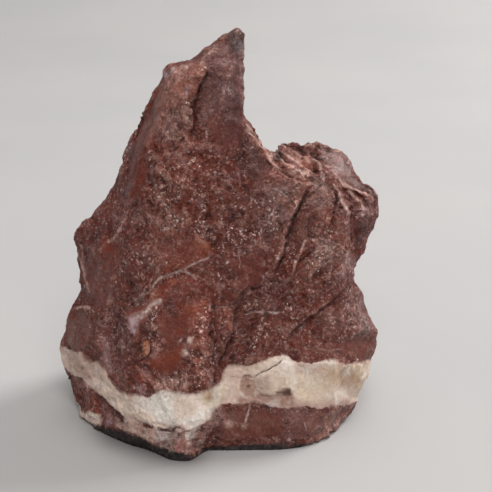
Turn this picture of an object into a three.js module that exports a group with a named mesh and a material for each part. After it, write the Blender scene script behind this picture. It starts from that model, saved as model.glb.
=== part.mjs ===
// Rough hand specimen of calcite rock: a broken slab of red-brown calcite that rises to a
// blade-like point on the left, with a lower knobbly shoulder on the right, crossed near its
// foot by a band of pale calcite. It formed as one stone, so it is one closed solid.
//
// Millimetres, +Z up. The broad broken face looks along -Y. The stone stands on a worn, nearly
// flat break at z = 0, and the origin is the centre of its bounding box on that plane.
//
// The broad face and the outline are laid out on a view grid: a sheet seen from VIEW_DISTANCE
// away and VIEW_TILT above the horizon, u to the right and v down, with its centre at VIEW_CENTRE
// and VIEW_SCALE units to the viewing distance. A grid point and a depth y give one point of
// the stone. Everything that grid does not reach, the sides, the back and the foot, is cut by planes.

import * as THREE from "three";

// ---- driving dimensions --------------------------------------------------------------------
const VIEW_DISTANCE = 286; // mm from the middle of the stone to the eye point of the view grid
const VIEW_TILT = (20 * Math.PI) / 180; // the eye point's height above the horizon
const VIEW_SCALE = 1110; // grid units per VIEW_DISTANCE-long unit of depth
const VIEW_CENTRE = 246; // grid units, both ways
const VIEW_HEIGHT = 44.7; // mm, height of the point the view grid is centred on
const CELL = 2.45; // mm, spacing of the facets
const EDGE_ROUND = 0.8; // mm, how worn the edges between two breaks are
const NOTCH_ROUND = 2.2; // mm, the same where an older, smaller piece has come away
const RIM_BULGE = 0.45; // mm, how far the worn edge stands out past the outline
const BOX_CENTRE = [-7.3, -1.779]; // mm, centre of the bounding box in plan, moved to the origin

// ---- the broad face: [u, v, y] on the view grid, y in mm, minus towards the viewer ---------
const FACE = [
  [225,5,0], [262,20,0], [275,60,6], [272,105,4], [285,120,2], [318,120,2], [350,125,2], [375,150,4], [400,185,4], [402,215,3],
  [395,250,4], [385,275,8], [392,300,4], [402,325,4], [405,350,2], [395,385,2], [385,410,-4], [370,430,-12], [350,450,-20], [320,465,-24],
  [270,470,-26], [225,472,-26.2], [190,485,-31.2], [150,468,-26.8], [110,455,-20.2], [75,440,-8.5], [50,420,2], [38,385,3], [35,345,3], [42,310,3],
  [50,275,3], [48,240,3], [62,205,3], [90,175,2.5], [100,140,0.9], [118,110,-0.7], [130,75,-2.3], [145,45,4], [185,35,3], [215,18,2],
  [237,36,-3.5], [222,52,-6.4], [242,62,-5.7], [206,55,-6.9], [190,64,-6.7], [170,70,-4], [164,80,-3.1], [178,82,-10.5], [203,72,-11.9], [209,73,-8.9],
  [228,80,-9.1], [242,85,-6.4], [152,100,-2.2], [162,108,-10.3], [192,108,-14.3], [198,105,-11.1], [222,112,-11.8], [240,112,-7.6], [138,128,-0.7], [148,135,-10.8],
  [180,142,-16.2], [188,136,-13.9], [222,146,-14.3], [243,126,-10.3], [247,150,-13.1], [262,148,-10.2], [256,136,-8.8], [277,147,-3], [300,146,-1], [318,145,-0.5],
  [281,160,-8], [292,176,-13], [306,163,-5.5], [318,186,-13.5], [322,160,-5], [335,152,-1.5], [333,172,-9], [347,165,-2.5], [122,178,-5.9], [133,182,-12.8],
  [152,190,-17.1], [185,185,-18.7], [222,186,-17.4], [262,182,-15.8], [290,190,-15], [312,192,-15.2], [322,192,-13.2], [340,195,-12.4], [356,186,-6], [352,205,-12.4],
  [368,195,-7.5], [366,215,-10], [374,208,-5], [362,232,-9], [348,225,-13], [330,225,-14.4], [308,225,-14.2], [92,222,-2.5], [103,228,-7.5], [122,222,-13],
  [132,228,-17], [165,228,-21], [205,228,-20.5], [250,226,-19.5], [285,222,-18.6], [298,216,-17.2], [80,242,-3], [90,250,-8.5], [108,255,-13], [130,258,-18.5],
  [160,260,-22.6], [205,256,-22.3], [250,256,-21], [284,252,-19.6], [293,255,-16.6], [312,255,-15.8], [338,255,-14.2], [350,258,-10.5], [84,280,-4], [94,285,-10],
  [112,290,-15], [130,290,-20.2], [150,296,-24.4], [190,290,-24.8], [210,285,-24.6], [240,284,-22.2], [268,276,-20.8], [278,284,-18.6], [300,285,-17.6], [325,286,-16.2],
  [345,284,-12], [76,308,-4.5], [86,315,-11], [104,320,-15.5], [126,320,-20.8], [150,330,-25.6], [190,326,-26.8], [211,320,-26.4], [219,315,-23.4], [234,312,-23.2],
  [243,316,-20.6], [270,316,-19.2], [300,318,-18.2], [325,315,-17.8], [346,306,-14.2], [360,300,-7], [66,340,-4], [76,345,-10], [98,350,-16], [122,352,-21.8],
  [150,362,-26.5], [190,362,-28.4], [209,356,-27.8], [217,352,-24.4], [226,350,-24], [234,350,-21.8], [270,348,-20.8], [305,345,-20.2], [340,340,-17.8], [362,330,-12.5],
  [372,342,-7], [70,372,-4.5], [84,378,-11], [106,385,-17.5], [128,398,-23.4], [160,400,-28], [192,396,-29.6], [210,386,-28.4], [222,372,-25], [232,368,-23.8],
  [262,360,-23.4], [300,364,-22.8], [335,364,-20.6], [360,366,-14], [78,398,-6], [92,405,-12.5], [118,414,-19.5], [150,428,-26], [180,428,-30.6], [205,418,-30.6],
  [215,410,-28.8], [232,404,-26.6], [265,406,-25.6], [305,406,-24.6], [335,402,-20.5], [350,398,-14], [86,419.5,-12], [112,430.5,-19.9], [145,441,-25.6], [175,453,-30.9],
  [192,456.5,-30.7], [204,448.5,-27.3], [215,445,-26.3], [245,445,-26.2], [280,444,-25.9], [312,443,-24.3], [330,430,-20.5], [344,416,-14],
];
// The facets between those points, three indices each.
const FACETS = [
  [161,27,28], [146,161,28], [175,162,163], [31,32,106], [30,31,106], [174,161,162], [175,174,162], [27,174,26], [161,174,27], [80,59,60], [79,59,80], [32,36,34], [36,32,37], [81,80,60],
  [81,82,102], [6,5,2], [6,1,7], [1,6,2], [20,19,22], [32,97,106], [187,24,25], [24,23,22], [186,187,25], [187,186,175], [186,174,175], [186,25,26], [174,186,26], [29,146,28],
  [29,131,146], [131,29,30], [31,29,28], [30,29,31], [59,53,60], [53,61,60], [53,58,52], [58,53,59], [64,83,82], [128,114,115], [112,111,102], [117,93,10], [93,9,10], [9,13,10],
  [13,9,14], [8,90,7], [75,6,7], [56,61,55], [56,51,57], [62,64,82], [81,62,82], [56,62,61], [62,81,60], [61,62,60], [68,4,5], [131,132,146], [132,119,120], [119,132,131],
  [19,196,18], [195,196,19], [196,195,183], [195,194,183], [20,194,19], [194,195,19], [127,141,126], [127,114,128], [127,128,142], [141,127,142], [160,13,14], [13,160,159], [15,160,14], [173,160,15],
  [197,17,18], [196,197,18], [33,97,32], [33,32,34], [99,79,80], [100,99,80], [111,101,102], [101,100,80], [101,81,102], [81,101,80], [118,131,30], [118,119,131], [118,30,106], [107,118,106],
  [35,36,52], [58,35,52], [36,35,34], [35,58,34], [78,59,79], [78,58,59], [58,78,34], [78,33,34], [99,78,79], [33,78,97], [78,99,97], [61,54,55], [53,54,61], [89,95,87],
  [82,103,102], [103,112,102], [83,103,82], [103,83,104], [114,113,104], [113,103,104], [103,113,112], [112,113,126], [113,127,126], [127,113,114], [95,116,115], [75,76,74], [96,95,115], [114,96,115],
  [96,114,104], [68,72,70], [46,36,37], [45,46,37], [36,46,52], [46,53,52], [38,37,0], [38,45,37], [66,3,4], [51,3,57], [3,51,2], [5,3,2], [4,3,5], [63,56,57],
  [63,62,56], [3,63,57], [63,3,66], [62,63,64], [63,66,64], [67,66,4], [67,68,70], [68,67,4], [69,75,74], [72,69,74], [69,72,68], [69,68,5], [6,69,5], [75,69,6],
  [128,143,142], [11,117,10], [162,148,163], [148,149,163], [141,125,126], [125,112,126], [112,125,111], [21,20,22], [190,21,22], [194,182,183], [182,171,183], [171,182,170], [166,179,178], [24,188,23],
  [188,24,187], [177,188,187], [149,164,163], [164,149,150], [165,166,178], [177,165,178], [164,165,177], [165,164,150], [156,171,170], [156,141,142], [171,184,183], [184,196,183], [184,197,196], [99,98,97],
  [98,107,106], [97,98,106], [110,109,100], [101,110,100], [110,101,111], [89,94,95], [94,116,95], [117,94,93], [116,94,117], [91,89,90], [91,9,93], [94,91,93], [91,94,89], [130,116,117],
  [11,130,117], [86,76,87], [95,86,87], [96,86,95], [86,96,85], [77,75,7], [77,76,75], [105,96,104], [96,105,85], [72,71,70], [71,83,70], [73,86,85], [86,73,76], [71,73,85],
  [73,71,72], [76,73,74], [73,72,74], [47,54,53], [46,47,53], [54,47,55], [47,46,45], [56,50,51], [50,56,55], [49,50,55], [38,44,45], [44,47,45], [1,40,0], [40,1,2],
  [66,65,64], [67,65,66], [65,67,70], [83,65,70], [65,83,64], [160,158,159], [158,160,173], [158,144,159], [158,143,144], [12,13,159], [13,12,10], [12,11,10], [132,147,146], [148,147,132],
  [147,161,146], [161,147,162], [147,148,162], [133,132,120], [134,133,120], [133,148,132], [148,133,149], [133,134,149], [121,134,120], [134,121,122], [109,121,120], [110,121,109], [121,110,122], [191,190,178],
  [179,191,178], [191,179,192], [21,191,192], [190,191,21], [193,182,194], [193,194,20], [182,193,181], [21,193,20], [193,21,192], [180,179,166], [179,180,192], [193,180,181], [180,193,192], [190,189,178],
  [189,177,178], [189,188,177], [188,189,23], [23,189,22], [189,190,22], [176,177,187], [176,164,177], [176,187,175], [176,175,163], [164,176,163], [168,169,181], [169,182,181], [182,169,170], [151,165,150],
  [165,151,166], [185,15,16], [185,173,15], [184,185,197], [17,185,16], [197,185,17], [172,184,171], [172,158,173], [185,172,173], [172,185,184], [98,108,107], [109,108,100], [108,118,107], [118,108,119],
  [108,109,120], [119,108,120], [108,99,100], [108,98,99], [91,92,9], [92,91,90], [9,92,8], [92,90,8], [143,129,144], [129,130,144], [129,143,128], [129,128,115], [116,129,115], [130,129,116],
  [76,88,87], [77,88,76], [88,89,87], [89,88,90], [90,88,7], [88,77,7], [105,84,85], [84,71,85], [84,105,104], [83,84,104], [71,84,83], [43,44,38], [44,48,47], [48,49,55],
  [47,48,55], [48,43,49], [43,48,44], [50,42,51], [51,42,2], [42,40,2], [157,156,142], [156,157,171], [143,157,142], [158,157,143], [157,172,171], [172,157,158], [145,130,11], [12,145,11],
  [130,145,144], [144,145,159], [145,12,159], [155,156,170], [169,155,170], [151,167,166], [167,180,166], [167,168,181], [180,167,181], [135,151,150], [135,134,122], [149,135,150], [134,135,149], [39,43,38],
  [39,38,0], [40,39,0], [41,50,49], [41,42,50], [43,41,49], [42,41,40], [41,39,40], [39,41,43], [167,152,168], [152,167,151], [123,110,111], [110,123,122], [135,136,151], [136,152,151],
  [152,136,137], [136,123,137], [136,135,122], [123,136,122], [140,125,141], [156,140,141], [155,140,156], [153,169,168], [152,153,168], [153,152,137], [125,124,111], [124,123,111], [123,124,137], [154,155,169],
  [153,154,169], [154,153,137], [140,139,125], [139,124,125], [139,140,155], [124,138,137], [139,138,124], [138,154,137], [138,139,155], [154,138,155],
];
// The outline on the view grid, clockwise from the point of the blade.
const OUTLINE = [
  [236.5,29], [238.5,29.2], [243.8,33], [245.6,39.5], [245.6,48.5], [243.4,60.5], [245.2,69.5], [243.8,74.5], [243,89.5], [243.2,119.5],
  [249.5,124.2], [253.5,129.1], [256.2,134.5], [264.5,145.9], [267.5,149.2], [273.5,141.2], [282.5,142], [292.5,140], [302.5,143], [311.5,141],
  [317.5,141.2], [322.5,144.8], [329.5,146.2], [335.5,148.8], [342.5,149.2], [348.8,155.5], [351.8,161.5], [352.2,169.5], [355.5,174.9], [365.1,183.5],
  [371.9,187.5], [377.8,194.5], [379,203.5], [376.8,217.5], [372.8,229.5], [369.2,235.5], [363.8,249.5], [359.8,257.5], [356.2,261.5], [354.6,266.5],
  [354.8,276.5], [356.2,282.5], [363.8,295.5], [366.2,303.5], [368.4,312.5], [372,322.5], [377.6,332.5], [377.2,340], [376.8,348.5], [370.2,361.5],
  [367.8,375.5], [361.2,384.5], [357.2,394.5], [355.5,404.5], [350.5,411.5], [343.5,419.5], [335.5,430], [326,439], [317.5,443.6], [308,446.8],
  [300,448], [285,449.6], [270,450.4], [250,450.7], [230,450.8], [214,450.8], [209,451.2], [204,453.5], [196,458.8], [188,461.6],
  [180,461.8], [170,460.3], [160,456.3], [150,451.5], [140,448.2], [130,445.3], [120,441.2], [110,436.8], [100,432.6], [93,429],
  [83.5,423], [78.2,413], [75,403], [73.4,392.5], [70.8,382.5], [66.6,374.5], [64.2,366.5], [61.2,355.5], [61,340.5], [65,328.5],
  [67.2,316.5], [70.2,307.5], [78,295.5], [80.4,289.5], [81,275.5], [77.6,259.5], [77.4,249.5], [74.4,240.5], [75.2,231.5], [80,224.5],
  [85.1,219.5], [89.5,217], [105.5,199.9], [110.2,190.5], [117.8,180.5], [119.8,176.5], [120.6,171.5], [123.8,165.5], [124.8,159.5], [124.6,149.5],
  [127.8,143.5], [129.2,138.5], [136.8,126.5], [140.2,115.5], [144.2,107.5], [148.8,101.5], [152.2,93.5], [160.8,82.5], [164.2,70], [168.5,65.4],
  [176.5,63.8], [186.5,59.2], [190.5,58.8], [197.9,54.5], [204.5,48.2], [210.5,46.4], [222.5,36.2], [230,31.6],
];
// Where the side breaks start behind the outline, and how much they lean in: [u, v, y, lean].
const RIM = [
  [238,29,-2,0.35], [243,60,-3.3,0.35], [243,100,-5.5,0.3], [245,121,-6.6,0.3], [256,134,-7.5,0.4], [267,149,-8.3,0.4], [285,141,-2,0.3], [318,141,0,0.3],
  [345,151,-1,0.3], [353,168,-2,0.3], [370,186,-5,0.35], [379,203,-4,0.2], [372,232,-5.5,0.2], [357,260,-6,0.15], [355,277,-7.5,0.1], [364,297,-5,0.15],
  [371,320,-5,0.2], [378,335,-5,0.25], [371,360,-6,0.2], [360,388,-10,0.15], [355,405,-10,0.1], [340,425,-17,0.1], [318,443,-23.5,0.05], [270,448,-26.3,0],
  [214,448,-27,0], [193,458,-31.2,0], [150,447,-27,0], [106,432,-18.8,0], [84,420,-11,0.1], [73,393,-4,0.5], [62,352,-2.5,0.32], [66,320,-3,0.3],
  [80,290,-3,0.3], [76,250,-2,0.35], [75,235,-1,0.35], [90,216,-1,0.4], [118,180,-1.5,0.4], [127,145,-0.7,0.4], [142,112,-0.2,0.45], [160,83,-0.4,0.5],
  [170,65,-0.9,0.85], [200,52,-1.9,0.8],
];
// Plane breaks round the sides and the back: a point on each in mm, its outward normal, and how
// rough it is in mm.
const BREAKS = [
  [[0,25,20],[0.05,0.97,0.24],1.5], [[-5,27,12],[-0.1,0.93,-0.34],1.3],
  [[-17,16.5,74],[-0.42,0.8,0.36],1], [[-38,19,22],[-0.68,0.72,0.06],1.4],
  [[-51,6,16],[-0.96,0.25,0.08],0.7], [[23,21,30],[0.5,0.85,0.12],1.5],
  [[36,9,14],[0.88,0.44,-0.12],0.9], [[-8,15.5,64],[0.1,0.95,0.33],1],
  [[-8,7.5,90],[-0.12,0.88,0.45],0.5], [[-26,17.5,60],[-0.55,0.75,0.33],1],
  [[31,13,12],[0.72,0.62,-0.3],1.1], [[9,24,7],[0.22,0.75,-0.62],0.9],
  [[-42,11,1.5],[-0.5,0.35,-0.79],0.5], [[-24,23,4],[-0.35,0.72,-0.6],0.7],
  [[29,3,2],[0.62,0.1,-0.78],0.5],
];
// The front edge of the foot hangs clear of the ground: points along it in plan, and its height
// above the ground at each, in mm.
const EAVES = [
  [-43.8,-8.6,0.2], [-42.2,-11.9,0.4], [-39.5,-15.3,0.8], [-37.5,-17.1,1.1], [-35.7,-18.5,1.5], [-33.8,-20.1,2.1], [-31.8,-21.6,2.6], [-29.9,-23,2.9],
  [-28.3,-24.1,2.9], [-26.5,-24.9,2.6], [-24.6,-25.9,2.2], [-23,-27.2,1.9], [-21.2,-28.6,1.9], [-19.1,-30.4,2.3], [-17.4,-31,2], [-15.6,-31.3,1.4],
  [-14.2,-31.3,1], [-13.5,-31,0.8], [-12.1,-29.3,0.8], [-10.7,-27.4,0.9], [-9.5,-26.3,1.2], [-8.2,-26.2,1.3], [-4,-26.2,1.1], [1,-26.1,1.2],
  [2.5,-26.1,1.4], [6,-26,1.6], [8.5,-25.9,1.6], [10,-25.6,1.2], [11.5,-25.3,1.1], [12.8,-24.9,0.9], [14.3,-24.6,0.6], [15.8,-24.4,0.35],
  [18.1,-23.1,0.2],
];
// Notches broken out of the back and sides: each is the space under all of its planes.
const NOTCHES = [
  [[[20,8,72.5],[-0.2,-0.66,-0.72]],[[1,-2,66],[-0.93,0.3,0.2]]],
  [[[3,3.5,84],[-0.6,-0.8,-0.05]],[[0,0,77],[0.3,0.25,-0.92]]],
  [[[4,16.2,40],[-0.05,-0.98,-0.13]],[[9,18,38],[-0.62,0.3,-0.72]]],
  [[[-20,21.5,26],[0.3,-0.93,0.22]],[[-24,20,33],[0.5,0.25,0.82]],[[-12,20,20],[-0.8,0.1,0.55]]],
];

// ---- view grid -----------------------------------------------------------------------------
const sinT = Math.sin(VIEW_TILT), cosT = Math.cos(VIEW_TILT);
const EYE = [0, -VIEW_DISTANCE * cosT, VIEW_HEIGHT + VIEW_DISTANCE * sinT];

function onGrid(x, y, z) {
  const dy = y - EYE[1], dz = z - EYE[2];
  const w = dy * cosT - dz * sinT;
  return [
    VIEW_CENTRE + (VIEW_SCALE * x) / w,
    VIEW_CENTRE - (VIEW_SCALE * (dy * sinT + dz * cosT)) / w,
    w / VIEW_SCALE, // mm to one grid unit at that depth
  ];
}

// ---- repeatable noise ----------------------------------------------------------------------
function hash(ix, iy, iz, seed) {
  let h = (Math.imul(ix, 374761393) + Math.imul(iy, 668265263) + Math.imul(iz, 2147483647 - 1274126177) + Math.imul(seed, 974634777)) | 0;
  h = Math.imul(h ^ (h >>> 13), 1274126177);
  h = Math.imul(h ^ (h >>> 16), 2246822519);
  return ((h ^ (h >>> 15)) >>> 0) / 4294967296;
}

// Smooth value noise, -1 to 1.
function noise(x, y, z, seed) {
  const ix = Math.floor(x), iy = Math.floor(y), iz = Math.floor(z);
  const fx = x - ix, fy = y - iy, fz = z - iz;
  const sx = fx * fx * (3 - 2 * fx), sy = fy * fy * (3 - 2 * fy), sz = fz * fz * (3 - 2 * fz);
  let sum = 0;
  for (let i = 0; i < 8; i++) {
    const a = i & 1, b = (i >> 1) & 1, c = i >> 2;
    sum += hash(ix + a, iy + b, iz + c, seed) * (a ? sx : 1 - sx) * (b ? sy : 1 - sy) * (c ? sz : 1 - sz);
  }
  return 2 * sum - 1;
}

// Small flat breaks at random tilts, one to each cell, -1 to 1: what a fracture surface looks like.
function chips(x, y, z, seed) {
  const ix = Math.floor(x), iy = Math.floor(y), iz = Math.floor(z);
  let total = 0, weight = 0, nearest = 9;
  const found = [];
  for (let a = -1; a <= 1; a++)
    for (let b = -1; b <= 1; b++)
      for (let c = -1; c <= 1; c++) {
        const jx = ix + a, jy = iy + b, jz = iz + c;
        const px = x - jx - hash(jx, jy, jz, seed), py = y - jy - hash(jx, jy, jz, seed + 1), pz = z - jz - hash(jx, jy, jz, seed + 2);
        const d = Math.sqrt(px * px + py * py + pz * pz);
        if (d < nearest) nearest = d;
        const tx = hash(jx, jy, jz, seed + 3) - 0.5, ty = hash(jx, jy, jz, seed + 4) - 0.5, tz = hash(jx, jy, jz, seed + 5) - 0.5;
        const level = hash(jx, jy, jz, seed + 6) - 0.5;
        found.push([d, level + 1.6 * (px * tx + py * ty + pz * tz)]);
      }
  for (const [d, value] of found) {
    const k = Math.exp(-14 * (d - nearest));
    total += k * value;
    weight += k;
  }
  return total / weight;
}

// ---- the broad face ------------------------------------------------------------------------
const PLATES = FACETS.map(([a, b, c]) => {
  const [ua, va, ya] = FACE[a], [ub, vb, yb] = FACE[b], [uc, vc, yc] = FACE[c];
  const det = (ub - ua) * (vc - va) - (uc - ua) * (vb - va);
  const gu = ((yb - ya) * (vc - va) - (yc - ya) * (vb - va)) / det;
  const gv = ((yc - ya) * (ub - ua) - (yb - ya) * (uc - ua)) / det;
  return { ua, va, ya, gu, gv, det, e: [ub - ua, vb - va, uc - ua, vc - va], box: [Math.min(ua, ub, uc), Math.min(va, vb, vc), Math.max(ua, ub, uc), Math.max(va, vb, vc)] };
});

// Depth of the broad face at a grid point, and its slope in mm to the grid unit.
function faceAt(u, v) {
  let best = null, bestOut = 1e9;
  for (const p of PLATES) {
    if (u < p.box[0] - 1e-6 || u > p.box[2] + 1e-6 || v < p.box[1] - 1e-6 || v > p.box[3] + 1e-6) continue;
    const du = u - p.ua, dv = v - p.va;
    const s = (du * p.e[3] - dv * p.e[2]) / p.det, t = (dv * p.e[0] - du * p.e[1]) / p.det;
    const out = Math.max(-s, -t, s + t - 1);
    if (out < bestOut) { bestOut = out; best = p; }
    if (out <= 0) break;
  }
  if (!best) return [8, 0];
  return [best.ya + best.gu * (u - best.ua) + best.gv * (v - best.va), Math.hypot(best.gu, best.gv)];
}

// Distance to the outline in grid units, minus inside.
function outlineAt(u, v) {
  let near = 1e18, inside = false;
  for (let i = 0, j = OUTLINE.length - 1; i < OUTLINE.length; j = i++) {
    const [ax, ay] = OUTLINE[j], [bx, by] = OUTLINE[i];
    const ex = bx - ax, ey = by - ay;
    const t = Math.max(0, Math.min(1, ((u - ax) * ex + (v - ay) * ey) / (ex * ex + ey * ey)));
    const dx = u - ax - t * ex, dy = v - ay - t * ey;
    near = Math.min(near, dx * dx + dy * dy);
    if (ay > v !== by > v && u < ax + ((v - ay) / (by - ay)) * ex) inside = !inside;
  }
  return inside ? -Math.sqrt(near) : Math.sqrt(near);
}

function rimAt(u, v) {
  let w = 0, y = 0, lean = 0;
  for (const [ru, rv, ry, rl] of RIM) {
    const d = (u - ru) ** 2 + (v - rv) ** 2 + 4;
    const k = 1 / (d * d);
    w += k; y += k * ry; lean += k * rl;
  }
  return [y / w, lean / w];
}

// ---- the stone as one field, minus inside, mm ----------------------------------------------
function sharper(a, b, r) {
  const h = Math.max(r - Math.abs(a - b), 0) / r;
  return Math.max(a, b) + (h * h * r) / 4;
}

// How high the underside is above the ground: shallow hollows in the worn break that the stone
// stands on, and the undercut that slopes in behind the front edge.
function underside(x, y) {
  let rise = Math.max(0, 1.9 * noise(x / 11, y / 11, 0.37, 71) + 0.9 * noise(x / 4.5, y / 4.5, 0.11, 72) - 0.55);
  for (let i = 1; i < EAVES.length; i++) {
    const [ax, ay, ah] = EAVES[i - 1], [bx, by, bh] = EAVES[i];
    const ex = bx - ax, ey = by - ay;
    const t = Math.max(0, Math.min(1, ((x - ax) * ex + (y - ay) * ey) / (ex * ex + ey * ey)));
    const h = ah + t * (bh - ah), far = Math.hypot(x - ax - t * ex, y - ay - t * ey);
    rise = Math.max(rise, h - 3.2 * far);
  }
  return rise;
}

function stone(x, y, z) {
  const rough = chips(x / 13, y / 13, z / 13, 11), fine = chips(x / 5.2, y / 5.2, z / 5.2, 31), swell = noise(x / 21, y / 21, z / 21, 51);
  // broad face
  const [u, v, mm] = onGrid(x, y, z);
  const [fy, slope] = faceAt(u + 2.2 * noise(x / 6, y / 6, z / 6, 61), v + 2.2 * noise(x / 6, y / 6, z / 6, 62));
  let f = (fy - y + 0.35 * rough + 0.32 * fine) / Math.sqrt(1 + (slope / mm) ** 2);
  // outline, with side breaks that lean in behind it
  const [ry, lean] = rimAt(u, v);
  const back = Math.max(0, y - ry), proud = Math.max(0, ry - y);
  const side = outlineAt(u, v) * mm - RIM_BULGE + lean * back + 0.25 * proud + Math.min(1, back / 6) * (1.1 * rough + 0.5 * fine + 1.2 * swell + 0.6);
  f = sharper(f, side, EDGE_ROUND);
  // side and back breaks
  for (const [[px, py, pz], [nx, ny, nz], r] of BREAKS) {
    const n = Math.hypot(nx, ny, nz);
    const d = ((x - px) * nx + (y - py) * ny + (z - pz) * nz) / n;
    if (d > f - 6) f = sharper(f, d + r * (0.9 * rough + 0.45 * fine + 0.8 * swell), EDGE_ROUND);
  }
  for (const planes of NOTCHES) {
    let d = -1e9;
    for (const [[px, py, pz], [nx, ny, nz]] of planes) {
      const n = Math.hypot(nx, ny, nz);
      d = sharper(d, ((x - px) * nx + (y - py) * ny + (z - pz) * nz) / n, NOTCH_ROUND);
    }
    f = sharper(f, -(d + 0.7 * rough + 0.3 * fine), NOTCH_ROUND);
  }
  // the foot
  return sharper(f, underside(x, y) - z, 0.5);
}

// ---- facets: one vertex to each cell the surface crosses, joined across the crossed edges ---
const LO = [-56, -38, -3.1], HI = [46, 40, 106];
const N = HI.map((h, i) => Math.ceil((h - LO[i]) / CELL) + 1);
const at = (i, j, k) => (k * N[1] + j) * N[0] + i;
const field = new Float64Array(N[0] * N[1] * N[2]);
for (let k = 0; k < N[2]; k++)
  for (let j = 0; j < N[1]; j++)
    for (let i = 0; i < N[0]; i++) field[at(i, j, k)] = stone(LO[0] + i * CELL, LO[1] + j * CELL, LO[2] + k * CELL);

const CORNERS = [[0, 0, 0], [1, 0, 0], [0, 1, 0], [1, 1, 0], [0, 0, 1], [1, 0, 1], [0, 1, 1], [1, 1, 1]];
const EDGES = [[0, 1], [2, 3], [4, 5], [6, 7], [0, 2], [1, 3], [4, 6], [5, 7], [0, 4], [1, 5], [2, 6], [3, 7]];

// A cell in which the stone, or the space round it, is in two unconnected parts would pinch the
// surface to a point or a line, so its emptiest-looking corner is filled until none is left.
function unconnected(value, inside) {
  const first = value.findIndex((f) => f < 0 === inside);
  if (first < 0) return false;
  const reached = new Set([first]);
  for (let grown = true; grown; ) {
    grown = false;
    for (const [a, b] of EDGES)
      if (value[a] < 0 === inside && value[b] < 0 === inside && reached.has(a) !== reached.has(b)) {
        reached.add(a).add(b);
        grown = true;
      }
  }
  return value.some((f, n) => f < 0 === inside && !reached.has(n));
}
for (let filled = true; filled; ) {
  filled = false;
  for (let k = 0; k + 1 < N[2]; k++)
    for (let j = 0; j + 1 < N[1]; j++)
      for (let i = 0; i + 1 < N[0]; i++) {
        const cell = CORNERS.map(([a, b, c]) => at(i + a, j + b, k + c));
        const value = cell.map((c) => field[c]);
        if (!value.some((f) => f < 0) || !value.some((f) => f >= 0)) continue;
        if (!unconnected(value, true) && !unconnected(value, false)) continue;
        const thinnest = cell.filter((c) => field[c] >= 0).sort((a, b) => field[a] - field[b])[0];
        field[thinnest] = -0.02 * CELL;
        filled = true;
      }
}

const vertexOf = new Int32Array(field.length).fill(-1);
const points = [];
for (let k = 0; k + 1 < N[2]; k++)
  for (let j = 0; j + 1 < N[1]; j++)
    for (let i = 0; i + 1 < N[0]; i++) {
      const value = CORNERS.map(([a, b, c]) => field[at(i + a, j + b, k + c)]);
      let n = 0, sx = 0, sy = 0, sz = 0;
      for (const [a, b] of EDGES) {
        if (value[a] < 0 === value[b] < 0) continue;
        const t = value[a] / (value[a] - value[b]);
        sx += CORNERS[a][0] + t * (CORNERS[b][0] - CORNERS[a][0]);
        sy += CORNERS[a][1] + t * (CORNERS[b][1] - CORNERS[a][1]);
        sz += CORNERS[a][2] + t * (CORNERS[b][2] - CORNERS[a][2]);
        n++;
      }
      if (!n) continue;
      vertexOf[at(i, j, k)] = points.length;
      points.push([LO[0] + (i + sx / n) * CELL, LO[1] + (j + sy / n) * CELL, LO[2] + (k + sz / n) * CELL]);
    }

const quads = [];
for (let k = 0; k < N[2]; k++)
  for (let j = 0; j < N[1]; j++)
    for (let i = 0; i < N[0]; i++) {
      const here = field[at(i, j, k)] < 0;
      const across = (di, dj, dk, a, b, c, d) => {
        if (i + di >= N[0] || j + dj >= N[1] || k + dk >= N[2]) return;
        const there = field[at(i + di, j + dj, k + dk)] < 0;
        if (here === there) return;
        quads.push(here ? [a, b, c, d].map((q) => vertexOf[q]) : [d, c, b, a].map((q) => vertexOf[q]));
      };
      if (j && k) across(1, 0, 0, at(i, j - 1, k - 1), at(i, j, k - 1), at(i, j, k), at(i, j - 1, k));
      if (i && k) across(0, 1, 0, at(i - 1, j, k - 1), at(i - 1, j, k), at(i, j, k), at(i, j, k - 1));
      if (i && j) across(0, 0, 1, at(i - 1, j - 1, k), at(i, j - 1, k), at(i, j, k), at(i - 1, j, k));
    }

// Each vertex is moved onto the surface, and kept near the middle of its neighbours.
const next = points.map(() => new Set());
for (const q of quads) for (let i = 0; i < 4; i++) { next[q[i]].add(q[(i + 1) % 4]); next[q[i]].add(q[(i + 3) % 4]); }
function ontoSurface(p, most) {
  const e = 0.25;
  const f = stone(...p);
  const g = [0, 1, 2].map((a) => { const q = [...p]; q[a] += e; return (stone(...q) - f) / e; });
  const gg = g[0] ** 2 + g[1] ** 2 + g[2] ** 2;
  if (gg < 0.02) return p;
  const step = Math.max(-most, Math.min(most, f / Math.sqrt(gg))) / Math.sqrt(gg);
  return p.map((c, a) => c - step * g[a]);
}
let mesh = points;
for (let round = 0; round < 3; round++) {
  const middle = mesh.map((p, i) => {
    const around = [...next[i]].map((n) => mesh[n]);
    return p.map((c, a) => c + 0.35 * (around.reduce((s, q) => s + q[a], 0) / around.length - c));
  });
  mesh = middle.map((p) => ontoSurface(p, 0.5 * CELL));
}
mesh = mesh.map((p) => ontoSurface(p, 0.25 * CELL));
// what lies within a hair of the resting plane lies in it
mesh = mesh.map(([x, y, z]) => [x - BOX_CENTRE[0], y - BOX_CENTRE[1], z < 0.3 ? 0 : z]);

const index = [];
const gap = (a, b) => Math.hypot(mesh[a][0] - mesh[b][0], mesh[a][1] - mesh[b][1], mesh[a][2] - mesh[b][2]);
for (const [a, b, c, d] of quads)
  if (gap(a, c) <= gap(b, d)) index.push(a, b, c, a, c, d);
  else index.push(b, c, d, b, d, a);

const geometry = new THREE.BufferGeometry();
geometry.setAttribute("position", new THREE.Float32BufferAttribute(mesh.flat(), 3));
geometry.setIndex(index);
geometry.computeVertexNormals();

const redCalcite = new THREE.MeshStandardMaterial({ color: 0x6e4038, roughness: 0.62, metalness: 0 });
const specimen = new THREE.Mesh(geometry, redCalcite);
specimen.name = "calcite_specimen";

const group = new THREE.Group();
group.add(specimen);

export default group;
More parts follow.
